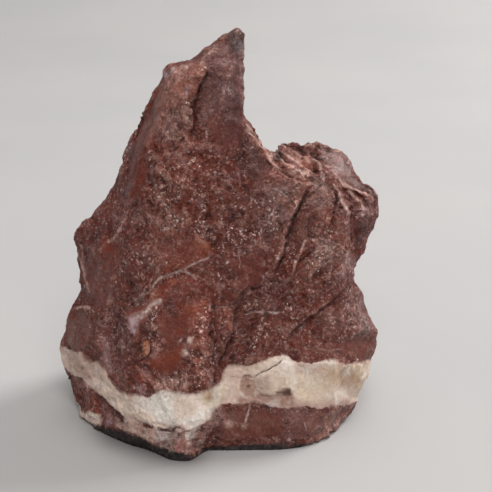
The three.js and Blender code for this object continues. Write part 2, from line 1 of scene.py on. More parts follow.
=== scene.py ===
"""Looks of the calcite specimen: a broken hand specimen of red-brown calcite crossed near its foot by a pale vein.

The stone of the CAD frame is copied, cut finer and given its broken, sugary surface, its cracks,
its steps and its vein. Numbers that describe it are millimetres, in the part's own frame moved by
SHIFT, and [u, v] are places on the view grid that the part's broad face is laid out on.
"""
import math

import bpy
import numpy as np
from mathutils import Matrix, Vector


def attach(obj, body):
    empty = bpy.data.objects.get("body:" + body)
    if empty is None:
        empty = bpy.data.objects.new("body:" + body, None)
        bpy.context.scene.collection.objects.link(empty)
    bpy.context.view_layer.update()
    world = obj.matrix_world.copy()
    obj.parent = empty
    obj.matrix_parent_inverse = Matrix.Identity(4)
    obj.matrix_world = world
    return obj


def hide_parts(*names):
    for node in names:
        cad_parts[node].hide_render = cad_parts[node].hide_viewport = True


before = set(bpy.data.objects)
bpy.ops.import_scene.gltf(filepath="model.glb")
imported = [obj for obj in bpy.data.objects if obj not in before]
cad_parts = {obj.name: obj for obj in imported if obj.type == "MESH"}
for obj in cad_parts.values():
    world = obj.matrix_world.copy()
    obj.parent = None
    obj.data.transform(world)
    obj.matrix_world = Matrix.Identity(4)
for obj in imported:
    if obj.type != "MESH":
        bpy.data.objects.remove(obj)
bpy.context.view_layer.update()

# ---- the view grid -------------------------------------------------------------------------
SHIFT = np.array([-7.3, -1.779, 0.0])
DIST, TILT, SCALE, MID, HEIGHT = 286.0, math.radians(20.0), 1110.0, 246.0, 44.7
ST, CT = math.sin(TILT), math.cos(TILT)
EYE = np.array([0.0, -DIST * CT, HEIGHT + DIST * ST])

FACE = np.array([
    (225, 5, 0.0), (262, 20, 0.0), (275, 60, 6), (272, 105, 4), (285, 120, 2), (318, 120, 2), (350, 125, 2), (375, 150, 4), (400, 185, 4), (402, 215, 3),
    (395, 250, 4), (385, 275, 8), (392, 300, 4), (402, 325, 4), (405, 350, 2), (395, 385, 2), (385, 410, -4), (370, 430, -12), (350, 450, -20), (320, 465, -24.0),
    (270, 470, -26.0), (225, 472, -26.2), (190, 485, -31.2), (150, 468, -26.8), (110, 455, -20.2), (75, 440, -8.5), (50, 420, 2.0), (38, 385, 3.0), (35, 345, 3.0), (42, 310, 3.0),
    (50, 275, 3.0), (48, 240, 3.0), (62, 205, 3.0), (90, 175, 2.5), (100, 140, 0.9), (118, 110, -0.7), (130, 75, -2.3), (145, 45, 4.0), (185, 35, 3.0), (215, 18, 2.0),
    (237, 36, -3.5), (222, 52, -6.4), (242, 62, -5.7), (206, 55, -6.9), (190, 64, -6.7), (170, 70, -4.0), (164, 80, -3.1), (178, 82, -10.5), (203, 72, -11.9), (209, 73, -8.9),
    (228, 80, -9.1), (242, 85, -6.4), (152, 100, -2.2), (162, 108, -10.3), (192, 108, -14.3), (198, 105, -11.1), (222, 112, -11.8), (240, 112, -7.6), (138, 128, -0.7), (148, 135, -10.8),
    (180, 142, -16.2), (188, 136, -13.9), (222, 146, -14.3), (243, 126, -10.3), (247, 150, -13.1), (262, 148, -10.2), (256, 136, -8.8), (277, 147, -3), (300, 146, -1), (318, 145, -0.5),
    (281, 160, -8), (292, 176, -13), (306, 163, -5.5), (318, 186, -13.5), (322, 160, -5), (335, 152, -1.5), (333, 172, -9), (347, 165, -2.5), (122, 178, -5.9), (133, 182, -12.8),
    (152, 190, -17.1), (185, 185, -18.7), (222, 186, -17.4), (262, 182, -15.8), (290, 190, -15), (312, 192, -15.2), (322, 192, -13.2), (340, 195, -12.4), (356, 186, -6), (352, 205, -12.4),
    (368, 195, -7.5), (366, 215, -10), (374, 208, -5), (362, 232, -9), (348, 225, -13), (330, 225, -14.4), (308, 225, -14.2), (92, 222, -2.5), (103, 228, -7.5), (122, 222, -13.0),
    (132, 228, -17.0), (165, 228, -21.0), (205, 228, -20.5), (250, 226, -19.5), (285, 222, -18.6), (298, 216, -17.2), (80, 242, -3.0), (90, 250, -8.5), (108, 255, -13.0), (130, 258, -18.5),
    (160, 260, -22.6), (205, 256, -22.3), (250, 256, -21.0), (284, 252, -19.6), (293, 255, -16.6), (312, 255, -15.8), (338, 255, -14.2), (350, 258, -10.5), (84, 280, -4.0), (94, 285, -10.0),
    (112, 290, -15.0), (130, 290, -20.2), (150, 296, -24.4), (190, 290, -24.8), (210, 285, -24.6), (240, 284, -22.2), (268, 276, -20.8), (278, 284, -18.6), (300, 285, -17.6), (325, 286, -16.2),
    (345, 284, -12), (76, 308, -4.5), (86, 315, -11.0), (104, 320, -15.5), (126, 320, -20.8), (150, 330, -25.6), (190, 326, -26.8), (211, 320, -26.4), (219, 315, -23.4), (234, 312, -23.2),
    (243, 316, -20.6), (270, 316, -19.2), (300, 318, -18.2), (325, 315, -17.8), (346, 306, -14.2), (360, 300, -7), (66, 340, -4.0), (76, 345, -10.0), (98, 350, -16.0), (122, 352, -21.8),
    (150, 362, -26.5), (190, 362, -28.4), (209, 356, -27.8), (217, 352, -24.4), (226, 350, -24.0), (234, 350, -21.8), (270, 348, -20.8), (305, 345, -20.2), (340, 340, -17.8), (362, 330, -12.5),
    (372, 342, -7), (70, 372, -4.5), (84, 378, -11.0), (106, 385, -17.5), (128, 398, -23.4), (160, 400, -28.0), (192, 396, -29.6), (210, 386, -28.4), (222, 372, -25.0), (232, 368, -23.8),
    (262, 360, -23.4), (300, 364, -22.8), (335, 364, -20.6), (360, 366, -14), (78, 398, -6.0), (92, 405, -12.5), (118, 414, -19.5), (150, 428, -26.0), (180, 428, -30.6), (205, 418, -30.6),
    (215, 410, -28.8), (232, 404, -26.6), (265, 406, -25.6), (305, 406, -24.6), (335, 402, -20.5), (350, 398, -14), (86, 419.5, -12.0), (112, 430.5, -19.9), (145, 441, -25.6), (175, 453, -30.9),
    (192, 456.5, -30.7), (204, 448.5, -27.3), (215, 445, -26.3), (245, 445, -26.2), (280, 444, -25.9), (312, 443, -24.3), (330, 430, -20.5), (344, 416, -14),
], float)
FACETS = np.array([
    (161, 27, 28), (146, 161, 28), (175, 162, 163), (31, 32, 106), (30, 31, 106), (174, 161, 162), (175, 174, 162), (27, 174, 26), (161, 174, 27), (80, 59, 60), (79, 59, 80), (32, 36, 34), (36, 32, 37), (81, 80, 60),
    (81, 82, 102), (6, 5, 2), (6, 1, 7), (1, 6, 2), (20, 19, 22), (32, 97, 106), (187, 24, 25), (24, 23, 22), (186, 187, 25), (187, 186, 175), (186, 174, 175), (186, 25, 26), (174, 186, 26), (29, 146, 28),
    (29, 131, 146), (131, 29, 30), (31, 29, 28), (30, 29, 31), (59, 53, 60), (53, 61, 60), (53, 58, 52), (58, 53, 59), (64, 83, 82), (128, 114, 115), (112, 111, 102), (117, 93, 10), (93, 9, 10), (9, 13, 10),
    (13, 9, 14), (8, 90, 7), (75, 6, 7), (56, 61, 55), (56, 51, 57), (62, 64, 82), (81, 62, 82), (56, 62, 61), (62, 81, 60), (61, 62, 60), (68, 4, 5), (131, 132, 146), (132, 119, 120), (119, 132, 131),
    (19, 196, 18), (195, 196, 19), (196, 195, 183), (195, 194, 183), (20, 194, 19), (194, 195, 19), (127, 141, 126), (127, 114, 128), (127, 128, 142), (141, 127, 142), (160, 13, 14), (13, 160, 159), (15, 160, 14), (173, 160, 15),
    (197, 17, 18), (196, 197, 18), (33, 97, 32), (33, 32, 34), (99, 79, 80), (100, 99, 80), (111, 101, 102), (101, 100, 80), (101, 81, 102), (81, 101, 80), (118, 131, 30), (118, 119, 131), (118, 30, 106), (107, 118, 106),
    (35, 36, 52), (58, 35, 52), (36, 35, 34), (35, 58, 34), (78, 59, 79), (78, 58, 59), (58, 78, 34), (78, 33, 34), (99, 78, 79), (33, 78, 97), (78, 99, 97), (61, 54, 55), (53, 54, 61), (89, 95, 87),
    (82, 103, 102), (103, 112, 102), (83, 103, 82), (103, 83, 104), (114, 113, 104), (113, 103, 104), (103, 113, 112), (112, 113, 126), (113, 127, 126), (127, 113, 114), (95, 116, 115), (75, 76, 74), (96, 95, 115), (114, 96, 115),
    (96, 114, 104), (68, 72, 70), (46, 36, 37), (45, 46, 37), (36, 46, 52), (46, 53, 52), (38, 37, 0), (38, 45, 37), (66, 3, 4), (51, 3, 57), (3, 51, 2), (5, 3, 2), (4, 3, 5), (63, 56, 57),
    (63, 62, 56), (3, 63, 57), (63, 3, 66), (62, 63, 64), (63, 66, 64), (67, 66, 4), (67, 68, 70), (68, 67, 4), (69, 75, 74), (72, 69, 74), (69, 72, 68), (69, 68, 5), (6, 69, 5), (75, 69, 6),
    (128, 143, 142), (11, 117, 10), (162, 148, 163), (148, 149, 163), (141, 125, 126), (125, 112, 126), (112, 125, 111), (21, 20, 22), (190, 21, 22), (194, 182, 183), (182, 171, 183), (171, 182, 170), (166, 179, 178), (24, 188, 23),
    (188, 24, 187), (177, 188, 187), (149, 164, 163), (164, 149, 150), (165, 166, 178), (177, 165, 178), (164, 165, 177), (165, 164, 150), (156, 171, 170), (156, 141, 142), (171, 184, 183), (184, 196, 183), (184, 197, 196), (99, 98, 97),
    (98, 107, 106), (97, 98, 106), (110, 109, 100), (101, 110, 100), (110, 101, 111), (89, 94, 95), (94, 116, 95), (117, 94, 93), (116, 94, 117), (91, 89, 90), (91, 9, 93), (94, 91, 93), (91, 94, 89), (130, 116, 117),
    (11, 130, 117), (86, 76, 87), (95, 86, 87), (96, 86, 95), (86, 96, 85), (77, 75, 7), (77, 76, 75), (105, 96, 104), (96, 105, 85), (72, 71, 70), (71, 83, 70), (73, 86, 85), (86, 73, 76), (71, 73, 85),
    (73, 71, 72), (76, 73, 74), (73, 72, 74), (47, 54, 53), (46, 47, 53), (54, 47, 55), (47, 46, 45), (56, 50, 51), (50, 56, 55), (49, 50, 55), (38, 44, 45), (44, 47, 45), (1, 40, 0), (40, 1, 2),
    (66, 65, 64), (67, 65, 66), (65, 67, 70), (83, 65, 70), (65, 83, 64), (160, 158, 159), (158, 160, 173), (158, 144, 159), (158, 143, 144), (12, 13, 159), (13, 12, 10), (12, 11, 10), (132, 147, 146), (148, 147, 132),
    (147, 161, 146), (161, 147, 162), (147, 148, 162), (133, 132, 120), (134, 133, 120), (133, 148, 132), (148, 133, 149), (133, 134, 149), (121, 134, 120), (134, 121, 122), (109, 121, 120), (110, 121, 109), (121, 110, 122), (191, 190, 178),
    (179, 191, 178), (191, 179, 192), (21, 191, 192), (190, 191, 21), (193, 182, 194), (193, 194, 20), (182, 193, 181), (21, 193, 20), (193, 21, 192), (180, 179, 166), (179, 180, 192), (193, 180, 181), (180, 193, 192), (190, 189, 178),
    (189, 177, 178), (189, 188, 177), (188, 189, 23), (23, 189, 22), (189, 190, 22), (176, 177, 187), (176, 164, 177), (176, 187, 175), (176, 175, 163), (164, 176, 163), (168, 169, 181), (169, 182, 181), (182, 169, 170), (151, 165, 150),
    (165, 151, 166), (185, 15, 16), (185, 173, 15), (184, 185, 197), (17, 185, 16), (197, 185, 17), (172, 184, 171), (172, 158, 173), (185, 172, 173), (172, 185, 184), (98, 108, 107), (109, 108, 100), (108, 118, 107), (118, 108, 119),
    (108, 109, 120), (119, 108, 120), (108, 99, 100), (108, 98, 99), (91, 92, 9), (92, 91, 90), (9, 92, 8), (92, 90, 8), (143, 129, 144), (129, 130, 144), (129, 143, 128), (129, 128, 115), (116, 129, 115), (130, 129, 116),
    (76, 88, 87), (77, 88, 76), (88, 89, 87), (89, 88, 90), (90, 88, 7), (88, 77, 7), (105, 84, 85), (84, 71, 85), (84, 105, 104), (83, 84, 104), (71, 84, 83), (43, 44, 38), (44, 48, 47), (48, 49, 55),
    (47, 48, 55), (48, 43, 49), (43, 48, 44), (50, 42, 51), (51, 42, 2), (42, 40, 2), (157, 156, 142), (156, 157, 171), (143, 157, 142), (158, 157, 143), (157, 172, 171), (172, 157, 158), (145, 130, 11), (12, 145, 11),
    (130, 145, 144), (144, 145, 159), (145, 12, 159), (155, 156, 170), (169, 155, 170), (151, 167, 166), (167, 180, 166), (167, 168, 181), (180, 167, 181), (135, 151, 150), (135, 134, 122), (149, 135, 150), (134, 135, 149), (39, 43, 38),
    (39, 38, 0), (40, 39, 0), (41, 50, 49), (41, 42, 50), (43, 41, 49), (42, 41, 40), (41, 39, 40), (39, 41, 43), (167, 152, 168), (152, 167, 151), (123, 110, 111), (110, 123, 122), (135, 136, 151), (136, 152, 151),
    (152, 136, 137), (136, 123, 137), (136, 135, 122), (123, 136, 122), (140, 125, 141), (156, 140, 141), (155, 140, 156), (153, 169, 168), (152, 153, 168), (153, 152, 137), (125, 124, 111), (124, 123, 111), (123, 124, 137), (154, 155, 169),
    (153, 154, 169), (154, 153, 137), (140, 139, 125), (139, 124, 125), (139, 140, 155), (124, 138, 137), (139, 138, 124), (138, 154, 137), (138, 139, 155), (154, 138, 155),
])
OUTLINE = np.array([
    (236.5, 29.0), (238.5, 29.2), (243.8, 33.0), (245.6, 39.5), (245.6, 48.5), (243.4, 60.5), (245.2, 69.5), (243.8, 74.5), (243.0, 89.5), (243.2, 119.5),
    (249.5, 124.2), (253.5, 129.1), (256.2, 134.5), (264.5, 145.9), (267.5, 149.2), (273.5, 141.2), (282.5, 142.0), (292.5, 140.0), (302.5, 143.0), (311.5, 141.0),
    (317.5, 141.2), (322.5, 144.8), (329.5, 146.2), (335.5, 148.8), (342.5, 149.2), (348.8, 155.5), (351.8, 161.5), (352.2, 169.5), (355.5, 174.9), (365.1, 183.5),
    (371.9, 187.5), (377.8, 194.5), (379.0, 203.5), (376.8, 217.5), (372.8, 229.5), (369.2, 235.5), (363.8, 249.5), (359.8, 257.5), (356.2, 261.5), (354.6, 266.5),
    (354.8, 276.5), (356.2, 282.5), (363.8, 295.5), (366.2, 303.5), (368.4, 312.5), (372.0, 322.5), (377.6, 332.5), (377.2, 340.0), (376.8, 348.5), (370.2, 361.5),
    (367.8, 375.5), (361.2, 384.5), (357.2, 394.5), (355.5, 404.5), (350.5, 411.5), (343.5, 419.5), (335.5, 430.0), (326.0, 439.0), (317.5, 443.6), (308.0, 446.8),
    (300.0, 448.0), (285.0, 449.6), (270.0, 450.4), (250.0, 450.7), (230.0, 450.8), (214.0, 450.8), (209.0, 451.2), (204.0, 453.5), (196.0, 458.8), (188.0, 461.6),
    (180.0, 461.8), (170.0, 460.3), (160.0, 456.3), (150.0, 451.5), (140.0, 448.2), (130.0, 445.3), (120.0, 441.2), (110.0, 436.8), (100.0, 432.6), (93.0, 429.0),
    (83.5, 423.0), (78.2, 413.0), (75.0, 403.0), (73.4, 392.5), (70.8, 382.5), (66.6, 374.5), (64.2, 366.5), (61.2, 355.5), (61.0, 340.5), (65.0, 328.5),
    (67.2, 316.5), (70.2, 307.5), (78.0, 295.5), (80.4, 289.5), (81.0, 275.5), (77.6, 259.5), (77.4, 249.5), (74.4, 240.5), (75.2, 231.5), (80.0, 224.5),
    (85.1, 219.5), (89.5, 217.0), (105.5, 199.9), (110.2, 190.5), (117.8, 180.5), (119.8, 176.5), (120.6, 171.5), (123.8, 165.5), (124.8, 159.5), (124.6, 149.5),
    (127.8, 143.5), (129.2, 138.5), (136.8, 126.5), (140.2, 115.5), (144.2, 107.5), (148.8, 101.5), (152.2, 93.5), (160.8, 82.5), (164.2, 70.0), (168.5, 65.4),
    (176.5, 63.8), (186.5, 59.2), (190.5, 58.8), (197.9, 54.5), (204.5, 48.2), (210.5, 46.4), (222.5, 36.2), (230.0, 31.6),
], float)
RIM = np.array([
    (238, 29, -2.0, 0.35), (243, 60, -3.3, 0.35), (243, 100, -5.5, 0.3), (245, 121, -6.6, 0.3), (256, 134, -7.5, 0.4), (267, 149, -8.3, 0.4), (285, 141, -2, 0.3), (318, 141, 0, 0.3),
    (345, 151, -1, 0.3), (353, 168, -2, 0.3), (370, 186, -5, 0.35), (379, 203, -4, 0.2), (372, 232, -5.5, 0.2), (357, 260, -6, 0.15), (355, 277, -7.5, 0.1), (364, 297, -5, 0.15),
    (371, 320, -5, 0.2), (378, 335, -5, 0.25), (371, 360, -6, 0.2), (360, 388, -10, 0.15), (355, 405, -10, 0.1), (340, 425, -17, 0.1), (318, 443, -23.5, 0.05), (270, 448, -26.3, 0),
    (214, 448, -27.0, 0), (193, 458, -31.2, 0), (150, 447, -27.0, 0), (106, 432, -18.8, 0), (84, 420, -11.0, 0.1), (73, 393, -4.0, 0.5), (62, 352, -2.5, 0.32), (66, 320, -3.0, 0.3),
    (80, 290, -3.0, 0.3), (76, 250, -2.0, 0.35), (75, 235, -1.0, 0.35), (90, 216, -1.0, 0.4), (118, 180, -1.5, 0.4), (127, 145, -0.7, 0.4), (142, 112, -0.2, 0.45), (160, 83, -0.4, 0.5),
    (170, 65, -0.9, 0.85), (200, 52, -1.9, 0.8),
], float)
# The hanging front edge in plan and its height above the ground: x, y, height.
EAVES = [
    (-43.8, -8.6, 0.2), (-42.2, -11.9, 0.4), (-39.5, -15.3, 0.8), (-37.5, -17.1, 1.1), (-35.7, -18.5, 1.5), (-33.8, -20.1, 2.1), (-31.8, -21.6, 2.6), (-29.9, -23.0, 2.9),
    (-28.3, -24.1, 2.9), (-26.5, -24.9, 2.6), (-24.6, -25.9, 2.2), (-23.0, -27.2, 1.9), (-21.2, -28.6, 1.9), (-19.1, -30.4, 2.3), (-17.4, -31.0, 2.0), (-15.6, -31.3, 1.4),
    (-14.2, -31.3, 1.0), (-13.5, -31.0, 0.8), (-12.1, -29.3, 0.8), (-10.7, -27.4, 0.9), (-9.5, -26.3, 1.2), (-8.2, -26.2, 1.3), (-4.0, -26.2, 1.1), (1.0, -26.1, 1.2),
    (2.5, -26.1, 1.4), (6.0, -26.0, 1.6), (8.5, -25.9, 1.6), (10.0, -25.6, 1.2), (11.5, -25.3, 1.1), (12.8, -24.9, 0.9), (14.3, -24.6, 0.6), (15.8, -24.4, 0.35),
    (18.1, -23.1, 0.2),
]
BREAKS = [
    [[0, 25, 20], [0.05, 0.97, 0.24], 1.5], [[-5, 27, 12], [-0.1, 0.93, -0.34], 1.3],
    [[-17, 16.5, 74], [-0.42, 0.8, 0.36], 1.0], [[-38, 19, 22], [-0.68, 0.72, 0.06], 1.4],
    [[-51, 6, 16], [-0.96, 0.25, 0.08], 0.7], [[23, 21, 30], [0.5, 0.85, 0.12], 1.5],
    [[36, 9, 14], [0.88, 0.44, -0.12], 0.9], [[-8, 15.5, 64], [0.1, 0.95, 0.33], 1.0],
    [[-8, 7.5, 90], [-0.12, 0.88, 0.45], 0.5], [[-26, 17.5, 60], [-0.55, 0.75, 0.33], 1.0],
    [[31, 13, 12], [0.72, 0.62, -0.3], 1.1], [[9, 24, 7], [0.22, 0.75, -0.62], 0.9],
    [[-42, 11, 1.5], [-0.5, 0.35, -0.79], 0.5], [[-24, 23, 4], [-0.35, 0.72, -0.6], 0.7],
    [[29, 3, 2], [0.62, 0.1, -0.78], 0.5],
]
NOTCHES = [
    [[[20, 8, 72.5], [-0.2, -0.66, -0.72]], [[1, -2, 66], [-0.93, 0.3, 0.2]]],
    [[[3, 3.5, 84], [-0.6, -0.8, -0.05]], [[0, 0, 77], [0.3, 0.25, -0.92]]],
    [[[4, 16.2, 40], [-0.05, -0.98, -0.13]], [[9, 18, 38], [-0.62, 0.3, -0.72]]],
    [[[-20, 21.5, 26], [0.3, -0.93, 0.22]], [[-24, 20, 33], [0.5, 0.25, 0.82]], [[-12, 20, 20], [-0.8, 0.1, 0.55]]],
]


def grid(p):
    d = p - EYE
    w = d[:, 1] * CT - d[:, 2] * ST
    return MID + SCALE * p[:, 0] / w, MID - SCALE * (d[:, 1] * ST + d[:, 2] * CT) / w, w / SCALE


# ---- repeatable noise ----------------------------------------------------------------------
def hashed(ix, iy, iz, seed):
    m = np.uint64(0xFFFFFFFF)
    k = lambda a, c: (a.astype(np.int64).astype(np.uint64) & m) * np.uint64(c) & m
    h = (k(ix, 374761393) + k(iy, 668265263) + k(iz, 873357470) + np.uint64(seed * 974634777 & 0xFFFFFFFF)) & m
    h = (h ^ (h >> np.uint64(13))) * np.uint64(1274126177) & m
    h = (h ^ (h >> np.uint64(16))) * np.uint64(2246822519) & m
    return (h ^ (h >> np.uint64(15))).astype(float) / 4294967296.0


def lattice(p, seeds):
    """Hash values of every lattice cell near the points, and the points' own cells."""
    cell = np.floor(p).astype(np.int64)
    lo, hi = cell.min(0) - 1, cell.max(0) + 2
    n = hi - lo + 1
    gx, gy, gz = np.meshgrid(*[np.arange(lo[a], hi[a] + 1) for a in range(3)], indexing="ij")
    table = np.stack([hashed(gx.ravel(), gy.ravel(), gz.ravel(), s) for s in seeds], 1)
    return cell, table, lambda c: ((c[:, 0] - lo[0]) * n[1] + c[:, 1] - lo[1]) * n[2] + c[:, 2] - lo[2]


def noise(p, seed):
    """Smooth value noise, -1 to 1."""
    cell, table, at = lattice(p, [seed])
    f = p - cell
    s = f * f * (3 - 2 * f)
    total = 0.0
    for i in range(8):
        a, b, c = i & 1, (i >> 1) & 1, i >> 2
        k = (s[:, 0] if a else 1 - s[:, 0]) * (s[:, 1] if b else 1 - s[:, 1]) * (s[:, 2] if c else 1 - s[:, 2])
        total = total + table[at(cell + np.array([a, b, c])), 0] * k
    return 2 * total - 1


def chips(p, seed, blend=14.0):
    """Small flat breaks at random tilts, one to each cell, about -1 to 1."""
    cell, table, at = lattice(p, [seed + k for k in range(7)])
    ds, vs = [], []
    for a in (-1, 0, 1):
        for b in (-1, 0, 1):
            for c in (-1, 0, 1):
                j = cell + np.array([a, b, c])
                t = table[at(j)]
                q = p - j - t[:, :3]
                ds.append(np.sqrt((q * q).sum(1)))
                vs.append(t[:, 6] - 0.5 + 1.6 * (q * (t[:, 3:6] - 0.5)).sum(1))
    ds, vs = np.stack(ds), np.stack(vs)
    k = np.exp(-blend * (ds - ds.min(0)))
    return (k * vs).sum(0) / k.sum(0)


# ---- the stone as one field, minus inside: the same breaks as the part's solid ---------------
def face_at(u, v):
    y, slope = np.full(len(u), 8.0), np.zeros(len(u))
    best = np.full(len(u), 1e9)
    for a, b, c in FACETS:
        (ua, va, ya), (ub, vb, yb), (uc, vc, yc) = FACE[a], FACE[b], FACE[c]
        i = np.nonzero((u >= min(ua, ub, uc)) & (u <= max(ua, ub, uc)) & (v >= min(va, vb, vc)) & (v <= max(va, vb, vc)))[0]
        if not len(i):
            continue
        det = (ub - ua) * (vc - va) - (uc - ua) * (vb - va)
        gu = ((yb - ya) * (vc - va) - (yc - ya) * (vb - va)) / det
        gv = ((yc - ya) * (ub - ua) - (yb - ya) * (uc - ua)) / det
        du, dv = u[i] - ua, v[i] - va
        s, t = (du * (vc - va) - dv * (uc - ua)) / det, (dv * (ub - ua) - du * (vb - va)) / det
        out = np.maximum(np.maximum(-s, -t), s + t - 1)
        better = out < best[i]
        i, out = i[better], out[better]
        best[i] = out
        y[i] = ya + gu * (u[i] - ua) + gv * (v[i] - va)
        slope[i] = math.hypot(gu, gv)
    return y, slope


def outline_at(u, v):
    near, inside = np.full(len(u), 1e18), np.zeros(len(u), bool)
    prev = OUTLINE[-1]
    for b in OUTLINE:
        (ax, ay), (bx, by) = prev, b
        ex, ey = bx - ax, by - ay
        t = np.clip(((u - ax) * ex + (v - ay) * ey) / (ex * ex + ey * ey), 0, 1)
        near = np.minimum(near, (u - ax - t * ex) ** 2 + (v - ay - t * ey) ** 2)
        if ay != by:
            inside ^= ((ay > v) != (by > v)) & (u < ax + (v - ay) / (by - ay) * ex)
        prev = b
    return np.where(inside, -np.sqrt(near), np.sqrt(near))


def rim_at(u, v):
    w = y = lean = 0.0
    for ru, rv, ry, rl in RIM:
        k = 1 / ((u - ru) ** 2 + (v - rv) ** 2 + 4) ** 2
        w, y, lean = w + k, y + k * ry, lean + k * rl
    return y / w, lean / w


def sharper(a, b, r=0.8):
    h = np.maximum(r - np.abs(a - b), 0) / r
    return np.maximum(a, b) + h * h * r / 4


def underside(p):
    """How high the underside is above the ground: hollows, and the undercut behind the front edge."""
    q = np.stack([p[:, 0] / 11, p[:, 1] / 11, np.full(len(p), 0.37)], 1)
    r = np.stack([p[:, 0] / 4.5, p[:, 1] / 4.5, np.full(len(p), 0.11)], 1)
    rise = np.maximum(0, 1.9 * noise(q, 71) + 0.9 * noise(r, 72) - 0.55)
    for (ax, ay, ah), (bx, by, bh) in zip(EAVES, EAVES[1:]):
        ex, ey = bx - ax, by - ay
        t = np.clip(((p[:, 0] - ax) * ex + (p[:, 1] - ay) * ey) / (ex * ex + ey * ey), 0, 1)
        h, far = ah + t * (bh - ah), np.hypot(p[:, 0] - ax - t * ex, p[:, 1] - ay - t * ey)
        rise = np.maximum(rise, h - 3.2 * far)
    return rise


def plane(p, point, normal):
    n = np.array(normal, float)
    return (p - np.array(point, float)) @ (n / np.linalg.norm(n))


def stone(p):
    """The field, and how much of it at that place is the broad face (more than 0 where it wins)."""
    rough, fine, swell = chips(p / 13, 11), chips(p / 5.2, 31), noise(p / 21, 51)
    u, v, mm = grid(p)
    fy, slope = face_at(u + 2.2 * noise(p / 6, 61), v + 2.2 * noise(p / 6, 62))
    front = (fy - p[:, 1] + 0.35 * rough + 0.32 * fine) / np.sqrt(1 + (slope / mm) ** 2)
    ry, lean = rim_at(u, v)
    back, proud = np.maximum(0, p[:, 1] - ry), np.maximum(0, ry - p[:, 1])
    f = outline_at(u, v) * mm - 0.45 + lean * back + 0.25 * proud + np.minimum(1, back / 6) * (1.1 * rough + 0.5 * fine + 1.2 * swell + 0.6)
    rest = f
    f = sharper(front, f)
    for point, normal, r in BREAKS:
        d = plane(p, point, normal)
        d = np.where(d > f - 6, d + r * (0.9 * rough + 0.45 * fine + 0.8 * swell), -1e3)
        rest, f = np.maximum(rest, d), sharper(f, d)
    for planes in NOTCHES:
        d = np.full(len(p), -1e9)
        for point, normal in planes:
            d = sharper(d, plane(p, point, normal), 2.2)
        d = -(d + 0.7 * rough + 0.3 * fine)
        rest, f = np.maximum(rest, d), sharper(f, d, 2.2)
    d = underside(p) - p[:, 2]
    return sharper(f, d, 0.5), front - np.maximum(rest, d)


# ---- lines and patches of the broad face, in grid units ---------------------------------------
def line_at(u, v, points, loop=False):
    """Distance to a polyline, the signed distance (plus on the right of its direction), and how far along, 0 to 1."""
    pts = np.array(points, float)
    if loop:
        pts = np.vstack([pts, pts[:1]])
    lengths = np.hypot(*(pts[1:] - pts[:-1]).T)
    total, run = lengths.sum(), 0.0
    near, signed, along = np.full(len(u), 1e9), np.zeros(len(u)), np.zeros(len(u))
    for (ax, ay), (bx, by), n in zip(pts[:-1], pts[1:], lengths):
        ex, ey = bx - ax, by - ay
        t = np.clip(((u - ax) * ex + (v - ay) * ey) / (n * n), 0, 1)
        dx, dy = u - ax - t * ex, v - ay - t * ey
        d = np.hypot(dx, dy)
        side = np.where(ex * (v - ay) - ey * (u - ax) >= 0, 1.0, -1.0)
        closer = d < near
        near = np.where(closer, d, near)
        signed = np.where(closer, side * d, signed)
        along = np.where(closer, (run + t * n) / total, along)
        run += n
    return near, signed, along


def in_patch(u, v, points, soft):
    """1 inside a closed outline, 0 outside, over a border of the given softness."""
    pts = np.array(points, float)
    near = line_at(u, v, pts, loop=True)[0]
    inside = np.zeros(len(u), bool)
    prev = pts[-1]
    for b in pts:
        (ax, ay), (bx, by) = prev, b
        if ay != by:
            inside ^= ((ay > v) != (by > v)) & (u < ax + (v - ay) / (by - ay) * (bx - ax))
        prev = b
    return smooth(-soft, soft, np.where(inside, near, -near))


def smooth(a, b, x):
    t = np.clip((x - a) / (b - a), 0, 1)
    return t * t * (3 - 2 * t)


# Open cracks: depth mm, half width in grid units, points.
CRACKS = [
    (0.9, 1.3, [(207, 69), (205, 76), (202, 82), (199, 88), (196, 95), (194, 101), (193, 108)]),
    (0.6, 1.2, [(195, 110), (195, 119), (192, 127), (188, 134)]),
    (1.6, 1.9, [(318, 182), (308, 189), (302, 200), (296, 213), (291, 229), (287, 243), (283, 259), (277, 270), (273, 279)]),
    (0.7, 1.3, [(273, 279), (266, 285), (252, 289), (245, 293), (241, 303), (236, 312), (235, 325), (231, 340), (227, 350), (220, 362), (218, 372)]),
    (1.1, 1.3, [(323, 182), (315, 191), (308, 201)]),
    (0.9, 1.5, [(335, 187), (337, 200), (334, 211), (332, 225), (328, 237)]),
    (0.9, 1.5, [(348, 188), (351, 207), (349, 226), (351, 241), (357, 254)]),
    (0.8, 1.4, [(364, 186), (371, 191), (376, 200)]),
    (0.45, 1.4, [(344, 289), (335, 299), (325, 307), (317, 313)]),
    (0.3, 1.0, [(318, 312), (308, 318), (297, 328), (289, 336)]),
    (0.45, 1.2, [(211, 296), (215, 312), (216, 330), (214, 350), (215, 366)]),
    (0.9, 1.2, [(129, 281), (128, 291)]),
    (0.8, 1.0, [(150, 340), (151, 348), (149, 354), (145, 358), (139, 361), (132, 360)]),
    (1.2, 1.5, [(284, 169), (291, 171), (298, 168)]),
    (0.9, 1.4, [(283, 147), (291, 150), (299, 153), (308, 155)]),
    (0.9, 1.4, [(315, 146), (317, 160), (314, 168), (322, 172)]),
    (0.6, 1.1, [(240, 381), (243, 377), (248, 375.5), (253, 377), (257, 374), (263, 372), (268, 370.5), (273, 368), (278, 365), (281, 361), (284, 357)]),
    (0.7, 1.2, [(118, 320), (114, 330), (112, 336)]),
    (0.7, 1.2, [(300, 262), (309, 254), (318, 249)]),
    (0.4, 1.0, [(250, 318), (256, 330), (258, 344)]),
    (0.4, 1.0, [(290, 232), (297, 240), (304, 250)]),
    (0.8, 1.4, [(150, 424), (160, 425), (172, 428), (186, 427)]),
    (0.3, 1.0, [(218, 172), (220, 164), (226, 160), (234, 159)]),
    (0.5, 1.2, [(157, 428), (163, 430), (170, 428), (176, 430)]),
]
